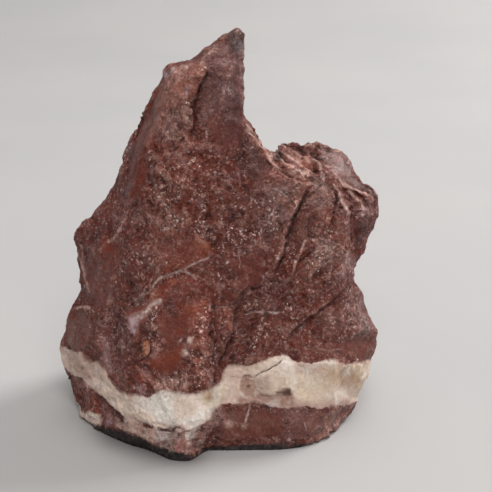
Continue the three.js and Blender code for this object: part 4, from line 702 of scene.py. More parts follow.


# the grey haze colour is partly the stone's own haze, partly painted sheen of its smoother places
RED, DEEP, ORANGE, HAZE_AND_SHEEN, PINK = lin(111, 47, 34), lin(96, 39, 30), lin(124, 52, 25), lin(134, 98, 95), lin(166, 108, 92)
GREY, BROWN, TAN, PLUM, ASH = lin(126, 90, 82), lin(114, 65, 52), lin(158, 98, 68), lin(96, 58, 58), lin(148, 114, 105)
LILAC, DUSK, MAROON = lin(172, 152, 160), lin(72, 46, 52), lin(84, 38, 32)
SLATE, RUST, SHADOW = lin(138, 112, 108), lin(142, 80, 64), lin(56, 24, 20)
CHALK, CORAL, DIM = lin(208, 184, 172), lin(190, 128, 96), lin(104, 76, 78)
PATCHES = [  # colour, strength, softness in grid units, outline
    # the spire
    (PINK, 0.75, 5, [(168, 68), (185, 60), (205, 67), (198, 87), (193, 98), (184, 100), (172, 106), (160, 106)]),
    (BROWN, 0.35, 2, [(176, 72), (182, 70), (176, 84), (168, 94), (166, 88)]), (PINK, 0.60, 2, [(188, 62), (205, 66), (200, 76), (190, 84), (184, 82)]),
    (ASH, 0.40, 2, [(182, 62), (192, 62), (180, 78), (174, 84)]), (LILAC, 0.55, 2, [(163, 70), (172, 66), (177, 68), (168, 76), (163, 82)]),
    (LILAC, 0.35, 2, [(186, 84), (192, 86), (189, 96), (183, 98)]),
    (ASH, 0.62, 5, [(166, 104), (180, 99), (192, 100), (191, 124), (186, 138), (176, 144), (162, 140), (160, 120)]),
    (LILAC, 0.12, 3, [(170, 116), (178, 110), (180, 126), (172, 134)]), (DUSK, 0.85, 2.5, [(166, 126), (173, 124), (172, 130), (166, 131)]),
    (GREY, 0.70, 6, [(150, 104), (164, 84), (168, 100), (162, 120), (152, 140), (142, 132)]),
    (LILAC, 0.50, 3, [(122, 148), (131, 139), (133, 148), (128, 158), (122, 160)]), (DUSK, 0.5, 2, [(126, 150), (134, 145), (133, 156), (127, 160)]), (DUSK, 0.5, 3, [(122, 186), (127, 184), (126, 198), (121, 198)]),
    (GREY, 0.30, 8, [(209, 58), (238, 29), (245, 50), (243, 118), (222, 122), (205, 128), (195, 118), (200, 90)]),
    (PLUM, 0.60, 6, [(228, 42), (240, 34), (245, 48), (243, 118), (228, 112), (230, 80)]), (DEEP, 0.25, 4, [(224, 36), (238, 29), (245, 40), (243, 54), (230, 52)]), (ASH, 0.75, 3, [(194, 60), (206, 50), (216, 44), (210, 58), (204, 66)]),
    (GREY, 0.35, 6, [(228, 60), (243, 60), (242, 96), (226, 96)]), (DIM, 0.45, 6, [(210, 50), (238, 30), (245, 48), (243, 110), (212, 112), (206, 90)]),
    (GREY, 0.40, 4, [(200, 100), (212, 92), (214, 120), (204, 130), (196, 126)]),
    (MAROON, 0.90, 6, [(222, 108), (243, 108), (243, 140), (236, 156), (224, 150), (216, 140)]), (SHADOW, 0.45, 5, [(228, 110), (243, 110), (243, 138), (230, 140)]),
    (DEEP, 0.75, 12, [(205, 128), (243, 120), (250, 150), (262, 175), (240, 185), (222, 160), (205, 150)]),
    (MAROON, 0.90, 4, [(240, 134), (250, 142), (262, 156), (272, 170), (280, 180), (262, 182), (246, 176), (238, 160)]), (SHADOW, 0.30, 3, [(252, 150), (264, 158), (270, 170), (254, 170)]),
    (DEEP, 0.35, 10, [(136, 130), (150, 120), (152, 160), (142, 205), (120, 205), (122, 165)]),
    (RUST, 0.40, 10, [(160, 140), (190, 140), (196, 150), (212, 165), (190, 185), (160, 170)]),
    # the middle of the face
    (PINK, 0.30, 8, [(146, 222), (170, 210), (190, 218), (182, 236), (164, 240), (162, 268), (150, 262)]),
    (GREY, 0.90, 14, [(262, 186), (300, 186), (300, 205), (287, 240), (268, 240), (254, 214)]), (LILAC, 0.05, 4, [(270, 186), (288, 188), (286, 196), (268, 194)]),
    (GREY, 0.60, 3, [(303, 182), (311, 184), (303, 198), (296, 212), (290, 232), (284, 252), (279, 262), (272, 262), (280, 240), (288, 214)]),
    (DEEP, 0.45, 10, [(205, 236), (262, 244), (282, 252), (262, 284), (240, 290), (222, 280), (205, 262)]), (MAROON, 0.2, 5, [(244, 196), (258, 200), (252, 216), (240, 212)]),
    (ORANGE, 0.55, 4, [(136, 298), (146, 282), (164, 270), (176, 270), (160, 279), (148, 290), (140, 298)]), (RUST, 0.35, 5, [(156, 246), (168, 238), (178, 246), (170, 258), (158, 262)]),
    (ORANGE, 0.95, 3.5, [(166, 266), (176, 255), (193, 246), (210, 245), (213, 250), (202, 258), (186, 264), (174, 271), (164, 274)]),
    (ORANGE, 0.95, 3, [(149, 296), (159, 284), (172, 278), (193, 276), (197, 282), (189, 286), (174, 292), (160, 298), (151, 300)]),
    (ORANGE, 0.90, 4, [(168, 314), (176, 304), (193, 306), (191, 322), (185, 336), (174, 333)]), (MAROON, 0.4, 3, [(166, 306), (176, 303), (174, 316), (167, 324)]),
    (ORANGE, 0.85, 4, [(150, 362), (168, 355), (176, 345), (185, 349), (181, 360), (172, 370), (155, 373)]), (ORANGE, 0.5, 4, [(160, 318), (168, 316), (172, 340), (164, 346)]),
    (PINK, 0.50, 5, [(218, 304), (234, 312), (232, 330), (218, 322)]), (RUST, 0.55, 5, [(192, 328), (204, 326), (208, 380), (200, 388), (190, 350)]), (ORANGE, 0.9, 2, [(188, 384), (200, 384), (202, 393), (188, 393)]), (ORANGE, 0.5, 2, [(200, 298), (208, 298), (207, 308), (200, 306)]),
    (TAN, 0.55, 2.5, [(196, 234), (203, 240), (212, 247), (206, 249), (193, 246)]), (TAN, 1.0, 1.6, [(143, 342), (147, 340), (150, 345), (150, 351), (146, 357), (142, 353)]), (TAN, 0.95, 1.5, [(170, 280), (176, 280), (174, 286)]),
    (CORAL, 0.6, 1.5, [(145, 346), (149, 346), (148, 353), (144, 355)]),
    (RUST, 0.50, 5, [(193, 298), (208, 296), (210, 340), (198, 344), (194, 320)]), (CHALK, 0.75, 1.0, [(187, 337), (192, 337), (193, 344), (189, 344)]), (CHALK, 0.7, 1.8, [(183, 350), (188, 349), (189, 354), (185, 357)]),
    (LILAC, 0.75, 2.5, [(128, 318), (140, 318), (139, 324), (134, 334), (129, 332)]), (PLUM, 0.72, 1.5, [(132, 326), (137, 325), (137, 329), (132, 329)]), (LILAC, 0.45, 3, [(99, 336), (106, 336), (109, 350), (112, 372), (108, 374), (103, 352)]), (ASH, 0.40, 3, [(99, 336), (106, 336), (109, 350), (112, 372), (108, 374), (103, 352)]),
    (PLUM, 0.60, 7, [(112, 312), (126, 318), (132, 345), (126, 360), (112, 350)]), (DUSK, 0.35, 5, [(112, 330), (124, 332), (124, 350), (114, 350)]),
    (GREY, 0.35, 7, [(112, 362), (126, 372), (142, 392), (126, 392), (114, 378)]), (HAZE_AND_SHEEN, 0.35, 4, [(203, 312), (208, 318), (208, 380), (203, 370)]), (DUSK, 0.35, 3, [(212, 350), (222, 354), (220, 368), (212, 366)]),
    (ASH, 0.85, 3, [(152, 380), (160, 377), (178, 377), (188, 382), (187, 392), (172, 391), (162, 388), (154, 393)]), (RUST, 0.40, 6, [(150, 312), (166, 316), (164, 346), (150, 350)]), (HAZE_AND_SHEEN, 0.5, 3, [(148, 348), (160, 348), (158, 360), (150, 360)]),
    (LILAC, 0.6, 2, [(133, 386), (142, 387), (141, 391), (134, 390)]), (ASH, 0.5, 3, [(138, 370), (148, 372), (150, 380), (142, 378)]),
    # the left edge
    (HAZE_AND_SHEEN, 0.30, 8, [(92, 262), (106, 258), (112, 300), (98, 306), (88, 285)]), (BROWN, 0.80, 7, [(64, 324), (76, 308), (94, 316), (96, 335), (90, 352), (75, 350), (62, 345)]),
    (PLUM, 0.35, 8, [(78, 232), (96, 232), (92, 280), (86, 300), (78, 280)]), (BROWN, 0.4, 6, [(84, 250), (100, 246), (104, 290), (92, 300)]),
    (DUSK, 0.3, 4, [(88, 236), (98, 232), (98, 246), (90, 250)]), 
    # the ledge and the shoulder
    (BROWN, 0.60, 3, [(270, 146), (276, 141), (318, 141), (319, 150), (300, 150), (284, 148)]), (PINK, 0.70, 4, [(276, 149), (300, 153), (312, 162), (316, 174), (300, 176), (284, 168), (272, 156)]),
    (PINK, 0.70, 3, [(244, 122), (252, 128), (266, 147), (276, 158), (286, 168), (300, 174), (312, 184), (303, 181), (284, 174), (273, 166), (264, 154), (250, 138)]), (SHADOW, 0.95, 2, [(272, 152), (281, 151), (283, 160), (275, 161)]),
    (SLATE, 0.85, 5, [(320, 144), (330, 146), (344, 149), (350, 160), (353, 176), (362, 186), (346, 182), (336, 172), (322, 160)]), (PINK, 0.30, 2.5, [(335, 155), (341, 154), (342, 159), (336, 160)]),
    (SLATE, 0.60, 4, [(350, 164), (358, 182), (374, 188), (378, 200), (362, 190), (352, 184)]), (ASH, 0.85, 5, [(316, 178), (330, 184), (333, 200), (322, 212), (308, 206)]),
    (GREY, 0.3, 3, [(308, 182), (318, 172), (324, 176), (316, 184)]), (ASH, 0.50, 5, [(304, 214), (326, 214), (324, 232), (300, 240)]), (BROWN, 0.5, 3, [(336, 186), (346, 202), (350, 214), (338, 214)]),
    (HAZE_AND_SHEEN, 0.50, 5, [(352, 194), (366, 200), (374, 210), (368, 222), (354, 216)]), (ASH, 0.5, 4, [(346, 222), (352, 218), (352, 244), (346, 240)]), (PINK, 0.7, 2, [(328, 214), (331, 214), (329, 232), (326, 234)]),
    (GREY, 0.6, 4, [(336, 220), (348, 222), (346, 236), (334, 234)]), (PLUM, 0.50, 6, [(354, 222), (374, 212), (362, 252), (356, 246)]), (DUSK, 0.4, 3, [(357, 236), (364, 232), (362, 248), (358, 248)]),
    (ASH, 0.75, 6, [(318, 238), (332, 238), (338, 254), (330, 268), (314, 262)]), (ASH, 0.85, 5, [(340, 250), (354, 252), (356, 270), (342, 272)]), (LILAC, 0.25, 3, [(344, 252), (354, 256), (354, 268), (346, 268)]), (RED, 0.35, 5, [(292, 244), (304, 244), (306, 258), (294, 262)]),
    (PINK, 0.18, 8, [(300, 262), (330, 262), (320, 290), (290, 292)]), (HAZE_AND_SHEEN, 0.08, 9, [(310, 285), (352, 262), (352, 285), (330, 300), (305, 315)]),
    # below the crack and the foot
    (BROWN, 0.35, 10, [(318, 315), (354, 290), (372, 320), (372, 345), (330, 345)]), (SLATE, 0.15, 8, [(318, 315), (354, 300), (360, 330), (330, 340)]), (SLATE, 0.75, 5, [(358, 290), (366, 300), (374, 330), (364, 338)]), (BROWN, 0.55, 9, [(304, 346), (350, 338), (374, 340), (372, 358), (330, 360), (300, 360)]),
    (ASH, 0.75, 6, [(322, 412), (352, 404), (346, 425), (326, 442), (316, 438)]), (HAZE_AND_SHEEN, 0.45, 3, [(283, 408), (320, 410), (316, 440), (283, 440)]), (MAROON, 0.8, 1.2, [(322, 410), (325, 410), (323, 424), (320, 424)]),
    (GREY, 0.28, 8, [(214, 408), (330, 408), (330, 444), (214, 444)]), (HAZE_AND_SHEEN, 0.35, 3, [(222, 410), (234, 410), (238, 420), (226, 420)]), (HAZE_AND_SHEEN, 0.15, 3, [(252, 412), (262, 410), (266, 424), (256, 430)]), (RUST, 0.08, 4, [(262, 426), (284, 426), (282, 440), (262, 440)]), (HAZE_AND_SHEEN, 0.6, 3, [(292, 410), (304, 412), (302, 420), (294, 420)]), (CHALK, 0.32, 2.5, [(223, 421), (233, 421), (234, 427), (226, 429)]), (CHALK, 0.5, 1.5, [(241, 424), (248, 424), (247, 429), (242, 429)]), (ASH, 1.0, 2.5, [(208, 414), (214, 410), (222, 407), (222, 418), (214, 428), (208, 436)]),
    (BROWN, 0.4, 6, [(78, 378), (95, 392), (112, 408), (122, 418), (108, 416), (82, 410)]), (GREY, 0.50, 4, [(74, 378), (90, 388), (92, 394), (80, 392)]), (DEEP, 0.6, 3, [(88, 390), (98, 392), (106, 402), (102, 412), (86, 412), (80, 404)]),
    (SLATE, 0.70, 3, [(100, 404), (110, 408), (112, 420), (102, 418)]), (SHADOW, 0.9, 2, [(112, 409), (118, 414), (123, 418), (123, 423), (116, 421), (110, 414)]), (SHADOW, 0.4, 2, [(78, 400), (84, 402), (84, 411), (79, 411)]),
    (LILAC, 0.6, 2, [(104, 419), (112, 421), (111, 427), (103, 425)]), (MAROON, 0.6, 2.5, [(160, 440), (178, 440), (188, 446), (170, 449)]), (ASH, 0.7, 2, [(178, 430), (198, 430), (198, 446), (184, 448)]), (GREY, 0.6, 2, [(172, 447), (190, 448), (192, 458), (178, 455)]),
    (lin(182, 136, 129), 0.80, 2, [(178, 428), (208, 430), (203, 450), (190, 457), (174, 451), (172, 444)]), (lin(104, 82, 84), 0.85, 1.2, [(160, 426), (173, 427), (175, 431), (182, 433), (181, 440), (173, 439), (170, 431), (161, 430)]),
    (CHALK, 0.95, 1.0, [(197, 443), (202, 441), (203, 445), (198, 446)]), (CHALK, 0.95, 1.0, [(186, 442), (191, 441), (191, 445), (187, 446)]), (CHALK, 0.9, 1.0, [(173, 433), (177, 432), (178, 437), (174, 438)]),
]
tint = np.tile(RED, (len(P), 1))
drift = noise(P / 16, 301)[:, None]
tint = tint * (1 - np.clip(drift, 0, 1) * 0.5) + np.clip(drift, 0, 1) * 0.5 * BROWN
off = (1 - front)[:, None]
for colour, seed, size in ((GREY, 302, 13), (ORANGE, 303, 12), (PINK, 304, 10), (DEEP, 305, 11), (PLUM, 306, 9)):
    k = off * 0.6 * smooth(0.22, 0.7, noise(P / size, seed))[:, None]
    tint = tint * (1 - k) + colour * k
ragged = noise(P / 1.9, 307) * 0.6 + noise(P / 4.2, 308) * 0.6
grained = noise(np.stack([(wu * 0.84 - wv * 0.54) / 26, (wu * 0.54 + wv * 0.84) / 6.5, P[:, 1] / 9], 1), 309)  # drawn out along the veinlets
for colour, strength, soft_edge, points in PATCHES:
    uneven = 0.95 + 0.5 * ragged + 1.3 * grained if colour is ORANGE else 1.05 + 0.75 * ragged
    k = (np.clip(strength * in_patch(wu, wv, points, soft_edge) * uneven, 0, 1) * front)[:, None]
    tint = tint * (1 - k) + colour * k

# Thin pale veinlets: half width mm, brightness, points. The first is the thick patch.
VEINLETS = [
    (1.45, 1.0, [(128, 320), (133, 318), (139, 316), (146, 312), (152, 307)]), (1.0, 1.0, [(146, 312), (152, 306), (157, 302), (163, 299)]),
    (0.6, 0.5, [(127, 303), (133, 300), (139, 299)]),
    (0.52, 0.62, [(213, 253), (206, 258), (193, 264), (184, 269), (176, 273), (166, 276), (159, 279), (149, 290), (138, 298), (128, 305)]),
    (0.46, 0.55, [(176, 273), (182, 271), (188, 272), (195, 276), (197, 281)]),
    (0.36, 0.60, [(218, 307), (226, 308), (234, 311)]),
    (0.42, 0.90, [(241, 313), (250, 314), (255, 312), (264, 312), (278, 314), (287, 313)]),
    (0.45, 0.90, [(251, 403), (249, 411), (247, 418), (245, 424)]),
    (0.30, 0.22, [(128, 212), (124, 220), (120, 228), (113, 236), (105, 243), (98, 252)]),
    (0.26, 0.45, [(238, 250), (240, 262), (239, 270)]),
    (0.26, 0.25, [(303, 350), (314, 348), (330, 351), (344, 349)]),
    (0.26, 0.20, [(150, 185), (160, 200), (175, 215), (190, 226)]),
    (0.26, 0.20, [(276, 300), (285, 292), (300, 290), (310, 284)]),
    (0.30, 0.20, [(78, 246), (83, 258), (86, 275), (88, 296)]),
    (0.22, 0.30, [(218, 172), (220, 164), (226, 160), (234, 159)]), (0.25, 0.55, [(114, 416), (114, 420), (117, 426), (122, 430)]), (0.25, 0.7, [(197, 445), (199, 443), (202, 440)]), (0.25, 0.5, [(305, 422), (307, 427), (307, 432)]),
    (0.24, 0.45, [(264, 188), (276, 189), (284, 193), (290, 198)]), (0.24, 0.4, [(258, 220), (268, 222), (276, 228)]),
    (0.30, 0.45, [(318, 201), (324, 204), (328, 200)]), (0.26, 0.4, [(136, 300), (141, 292), (148, 284), (152, 276)]),
]


def nearest_line(lines, widest):
    """Signed distance mm, half width mm and strength of the nearest of several lines; none far from them."""
    d, w, s = np.full(len(P), 9.0), np.zeros(len(P)), np.zeros(len(P))
    for half, strong, points in lines:
        near, signed, along = line_at(wu, wv, points)
        fade = smooth(0, 0.1, along) * smooth(1, 0.9, along) * smooth(widest, widest * 0.55, near * mm) * front
        closer = np.abs(signed * mm) < np.abs(d)
        d, w, s = np.where(closer, signed * mm, d), np.where(closer, half * fade, w), np.where(closer, strong * fade, s)
    return d, w, s


veinlet_d, veinlet_w, veinlet_s = nearest_line(VEINLETS, 2.4)
crack_d, crack_w, crack_s = nearest_line([(0.16 + 0.11 * half, min(1.0, 0.45 + 0.3 * deep), points) for deep, half, points in CRACKS], 2.4)
crack_s = crack_s * (0.35 + 0.75 * broken)
VEIN_CRACKS = [(0.30, 0.9, [(141, 424), (147, 425.5), (153, 427)]), (0.55, 1.0, [(156, 427.5), (163, 430), (170, 428.5), (177, 430)]), (0.3, 0.5, [(120, 430), (128, 432), (135, 434), (145, 439)]),
               (0.32, 1.0, [(240, 381), (243, 377), (248, 375.5), (253, 377), (257, 374), (263, 372), (268, 370.5), (273, 368), (278, 365), (281, 361), (284, 357)]), (0.2, 0.55, [(255, 389), (262, 396), (272, 396), (282, 396), (290, 392)]),
               (0.14, 0.35, [(302, 362), (306, 374), (303, 384)]), (0.14, 0.3, [(320, 372), (335, 374), (350, 370)])]
vcrack_d, vcrack_w, vcrack_s = nearest_line(VEIN_CRACKS, 2.4)


SPOTS = [(323, 175, 2.4), (317, 160, 1.6), (347, 208, 2.2), (365, 208, 2.6), (363, 215, 1.6), (345, 222, 1.4), (205, 67, 1.6), (186, 66, 1.8), (133, 229, 1.5), (227, 262, 1.8), (300, 170, 1.6), (308, 174, 1.6),
         (326, 246, 2.0), (331, 250, 1.6), (296, 262, 1.4), (190, 341, 1.8), (186, 353, 1.8), (180, 340, 1.2), (121, 190, 1.2), (140, 263, 1.6), (143, 256, 1.4), (348, 213, 1.8), (168, 154, 1.6), (236, 424, 1.6), (160, 392, 1.5), (176, 388, 1.5)]


def spot(su, sv, r, inner=0.0):
    return smooth(r, inner, np.hypot(wu - su, wv - sv)) * front


WHITE, CREAM, BEIGE, BLUSH, YELLOW, SMOKE, OCHRE = lin(250, 236, 226), lin(230, 206, 188), lin(207, 180, 154), lin(216, 182, 169), lin(226, 206, 168), lin(190, 168, 154), lin(178, 138, 108)
WARM = lin(255, 230, 210)
ROSE, SORREL, PEARL, MAUVE = lin(198, 162, 150), lin(162, 122, 110), lin(202, 186, 184), lin(104, 70, 64)
VEIN_PATCHES = [
    (ROSE, 0.85, 6, [(60, 346), (78, 352), (88, 366), (84, 380), (68, 370)]),
    (ROSE, 0.30, 5, [(64, 346), (76, 354), (82, 364), (72, 366)]),
    (BLUSH, 0.70, 6, [(88, 362), (100, 364), (110, 384), (108, 398), (94, 386), (86, 376)]),
    (ROSE, 0.60, 3, [(84, 366), (92, 366), (92, 386), (84, 380)]),
    (WHITE, 0.30, 4, [(94, 368), (104, 370), (106, 386), (98, 388)]),
    (WARM, 0.85, 5, [(104, 386), (124, 395), (140, 412), (136, 421), (110, 406), (100, 392)]),
    (ROSE, 0.45, 3, [(104, 386), (116, 392), (122, 402), (112, 404), (104, 396)]),
    (WHITE, 0.95, 7, [(136, 396), (150, 398), (160, 389), (180, 392), (202, 394), (204, 406), (190, 412), (176, 424), (150, 424), (136, 414)]),
    (CREAM, 0.03, 5, [(148, 404), (160, 402), (166, 418), (154, 424)]),
    (WHITE, 0.90, 5, [(186, 412), (204, 406), (210, 412), (200, 426), (186, 430)]),
    (lin(255, 246, 235), 0.90, 5, [(150, 398), (168, 396), (170, 420), (152, 420)]),
    (lin(255, 244, 232), 0.80, 4, [(124, 408), (142, 412), (146, 420), (130, 419)]),
    (YELLOW, 0.30, 4, [(178, 404), (194, 402), (188, 414), (176, 416)]),
    (YELLOW, 0.60, 5, [(200, 392), (214, 384), (224, 380), (228, 390), (218, 408), (204, 406)]),
    (SORREL, 0.35, 3, [(204, 391), (214, 386), (220, 390), (213, 400), (205, 398)]),
    (OCHRE, 0.80, 3, [(204, 391), (214, 386), (220, 390), (213, 400), (205, 398)]),
    (ROSE, 0.45, 7, [(222, 370), (246, 366), (254, 380), (244, 402), (224, 402)]),
    (SMOKE, 0.10, 5, [(224, 366), (250, 366), (248, 378), (226, 382)]),
    (WHITE, 0.25, 4, [(224, 386), (234, 384), (236, 394), (226, 398)]),
    (SORREL, 1.0, 3, [(238, 398), (257, 396), (257, 404), (238, 405)]),
    (WHITE, 0.50, 4, [(276, 358), (290, 355), (296, 364), (292, 378), (280, 378), (272, 368)]),
    (CREAM, 0.60, 6, [(262, 374), (284, 372), (296, 386), (288, 392), (262, 388)]),
    (SMOKE, 0.80, 4, [(254, 378), (268, 376), (270, 390), (256, 392)]),
    (SORREL, 0.45, 4, [(254, 378), (268, 376), (270, 390), (256, 392)]),
    (YELLOW, 0.35, 8, [(292, 378), (322, 372), (330, 388), (312, 402), (294, 398)]),
    (BEIGE, 0.75, 8, [(318, 366), (346, 364), (372, 360), (372, 378), (362, 388), (336, 384), (318, 376)]),
    (ROSE, 0.90, 4, [(296, 364), (320, 363), (322, 374), (298, 372)]),
    (OCHRE, 0.30, 4, [(300, 366), (320, 366), (320, 376), (302, 374)]),
    (OCHRE, 0.25, 5, [(318, 368), (352, 366), (356, 388), (330, 384)]),
    (OCHRE, 0.35, 5, [(334, 374), (350, 370), (362, 374), (360, 386), (342, 386)]),
    (WHITE, 0.25, 5, [(332, 390), (348, 386), (356, 392), (348, 400), (332, 398)]),
    (ROSE, 0.80, 4, [(250, 399), (290, 402), (326, 402), (350, 398), (352, 406), (300, 411), (252, 406)]),
    (SORREL, 0.95, 3, [(255, 395), (275, 397), (291, 394), (296, 400), (294, 408), (276, 406), (256, 402)]),
    (CREAM, 0.12, 1.5, [(256, 399), (265, 399), (275, 401), (274, 403), (256, 401)]),
    (WARM, 0.85, 4, [(126, 408), (140, 411), (156, 416), (154, 423), (132, 420)]),
    (WHITE, 0.60, 3, [(79, 412), (90, 413), (100, 417), (98, 424), (86, 423)]),
    
    (SORREL, 0.55, 3, [(112, 414), (134, 421), (150, 425), (152, 438), (134, 434), (112, 428)]),
    (ROSE, 0.50, 3, [(124, 418), (146, 424), (150, 436), (138, 434)]),
    (PEARL, 0.95, 2.5, [(154, 430), (158, 428), (170, 431), (171, 440), (158, 440)]),
    (SORREL, 0.60, 2, [(144, 438), (150, 440), (166, 449), (162, 449), (150, 445)]),
    (WHITE, 0.50, 4, [(182, 420), (204, 416), (204, 424), (192, 430)]),
    (WARM, 0.68, 3, [(178, 431), (206, 427), (206, 446), (182, 448)]),
    (WHITE, 0.80, 1.5, [(188, 441), (192, 441), (191, 445), (187, 445)]),
    (MAUVE, 0.95, 2.5, [(106, 412), (117, 412), (119, 425), (108, 424)]),
    (CREAM, 0.75, 4, [(173, 398), (197, 398), (197, 418), (175, 420)]),
    (MAUVE, 0.80, 2, [(152, 439), (166, 441), (166, 448), (156, 446)]),
    (WHITE, 0.35, 2, [(160, 431), (169, 431), (169, 439), (160, 439)]),
    (SORREL, 0.50, 3, [(186, 440), (200, 428), (207, 430), (200, 446), (190, 452)]),
    (SORREL, 0.40, 3, [(168, 430), (180, 432), (182, 442), (170, 441)]),
    (MAUVE, 0.45, 3, [(186, 438), (200, 428), (207, 430), (201, 446), (190, 452)]),
    (MAUVE, 0.35, 3, [(171, 431), (180, 432), (182, 445), (171, 443)]),
    (WHITE, 0.90, 2, [(185, 429), (196, 429), (196, 438), (187, 440)]),
    (MAUVE, 0.95, 2, [(160, 441), (172, 440), (182, 443), (188, 448), (172, 450), (164, 447)]),
    (SORREL, 0.60, 2, [(172, 449), (190, 450), (192, 458), (178, 455)]),
    (SORREL, 0.50, 2, [(136, 424), (152, 427), (152, 440), (140, 436)]),
]
pale_tint = np.tile(CREAM, (len(P), 1))
for colour, seed, size in ((WHITE, 312, 7), (BEIGE, 311, 8), (BLUSH, 313, 6), (YELLOW, 314, 9)):
    k = off * 0.8 * smooth(0.1, 0.6, noise(P / size, seed))[:, None]
    pale_tint = pale_tint * (1 - k) + colour * k
for colour, strength, soft_edge, points in VEIN_PATCHES:
    k = (strength * in_patch(wu, wv, points, soft_edge) * front)[:, None]
    pale_tint = pale_tint * (1 - k) + colour * k
mottle = np.maximum(0.8 * in_patch(wu, wv, [(170, 426), (206, 420), (208, 446), (196, 458), (172, 452), (164, 442)], 4) * front, 0.6 * (1 - front))
mottle = mottle * (1 - 0.9 * in_patch(wu, wv, [(185, 428), (196, 426), (197, 438), (187, 441)], 2) * front)
rosy = np.maximum.reduce([0.9 * in_patch(wu, wv, [(241, 379), (245, 375), (250, 375), (254, 380), (256, 388), (255, 393), (252, 397), (246, 397), (242, 391), (240, 385)], 1.6) * front, 0.6 * in_patch(wu, wv, [(256, 393), (275, 397), (291, 392), (293, 400), (274, 400), (256, 398)], 2) * front, 0.35 * in_patch(wu, wv, [(84, 358), (100, 366), (108, 384), (96, 380)], 5) * front])
# dark in the vein: a disc's own dark centre, and painted shade in the hole and the pits
murk_and_pit_shade = np.maximum.reduce([0.95 * spot(249, 387, 2.8, 0.8), 0.6 * spot(241, 382, 1.8, 0.4), 0.6 * spot(253, 396, 2.0, 0.4), 0.95 * in_patch(wu, wv, [(275, 393), (280, 391), (286, 390), (290, 388), (291.5, 395), (288, 397), (283, 395.5), (276, 396)], 1.2) * front, 0.5 * in_patch(wu, wv, [(258, 393), (270, 395), (284, 393), (284, 396), (270, 398), (259, 396)], 1.4) * front, 0.7 * spot(82, 368, 2.6, 0.8), 0.6 * spot(88, 377, 2.2, 0.6), 0.5 * spot(71, 373, 2.2, 0.6)])

# the pinkish band gives way to rock at the tip of the foot and round the glassy grains in it
bare = np.maximum.reduce([
    in_patch(wu, wv, [(184, 429), (186, 441), (197, 439), (202, 429), (208, 431), (203, 450), (190, 456), (178, 452), (173, 446), (181, 440)], 1.8),
    0.75 * in_patch(wu, wv, [(160, 428), (166, 427.5), (173, 429), (175, 432), (182, 433), (180, 439), (174, 439), (171, 432), (161, 430)], 1.2),
    0.8 * in_patch(wu, wv, [(142, 423), (152, 426), (152, 429), (143, 426)], 1.0)])
second = np.clip(second - 4.5 * bare * front, -6, 6)

glint = np.zeros(len(P))
for su, sv, r in SPOTS:
    glint = np.maximum(glint, spot(su, sv, 1.35 * r, 0.2 * r))

# ---- the piece ------------------------------------------------------------------------------------
mesh = bpy.data.meshes.new("calcite_looks")
mesh.vertices.add(len(P))
mesh.vertices.foreach_set("co", ((P - SHIFT) / 1000).astype(np.float32).ravel())
mesh.loops.add(T.size)
mesh.loops.foreach_set("vertex_index", T.astype(np.int32).ravel())
mesh.polygons.add(len(T))
mesh.polygons.foreach_set("loop_start", np.arange(0, T.size, 3, dtype=np.int32))
mesh.polygons.foreach_set("use_smooth", np.ones(len(T), bool))
mesh.update(calc_edges=True)
mesh.validate()
for name, values in dict(vein=vein, second=second, sugar=sugary, waxy=waxy, proud=proud, veinlet=veinlet_d, veinlet_w=veinlet_w, veinlet_s=veinlet_s, crack=crack_d, crack_w=crack_w, crack_s=crack_s,
                         vcrack=vcrack_d, vcrack_w=vcrack_w, vcrack_s=vcrack_s, rosy=rosy, murk_and_pit_shade=murk_and_pit_shade, pale_wear_and_highlight=pale_wear_and_highlight, streak=streak, mottle=mottle, shade=shade, glint=glint, undercut_painted_shade=undercut_painted_shade, dull=dull, gain=gain).items():
    mesh.attributes.new(name, "FLOAT", "POINT").data.foreach_set("value", np.asarray(values, np.float32))
mesh.attributes.new("pale_tint", "FLOAT_COLOR", "POINT").data.foreach_set("color", np.hstack([pale_tint, np.ones((len(P), 1))]).astype(np.float32).ravel())
mesh.attributes.new("tint", "FLOAT_COLOR", "POINT").data.foreach_set("color", np.hstack([tint, np.ones((len(P), 1))]).astype(np.float32).ravel())
piece = bpy.data.objects.new("calcite_specimen_looks", mesh)
bpy.context.scene.collection.objects.link(piece)

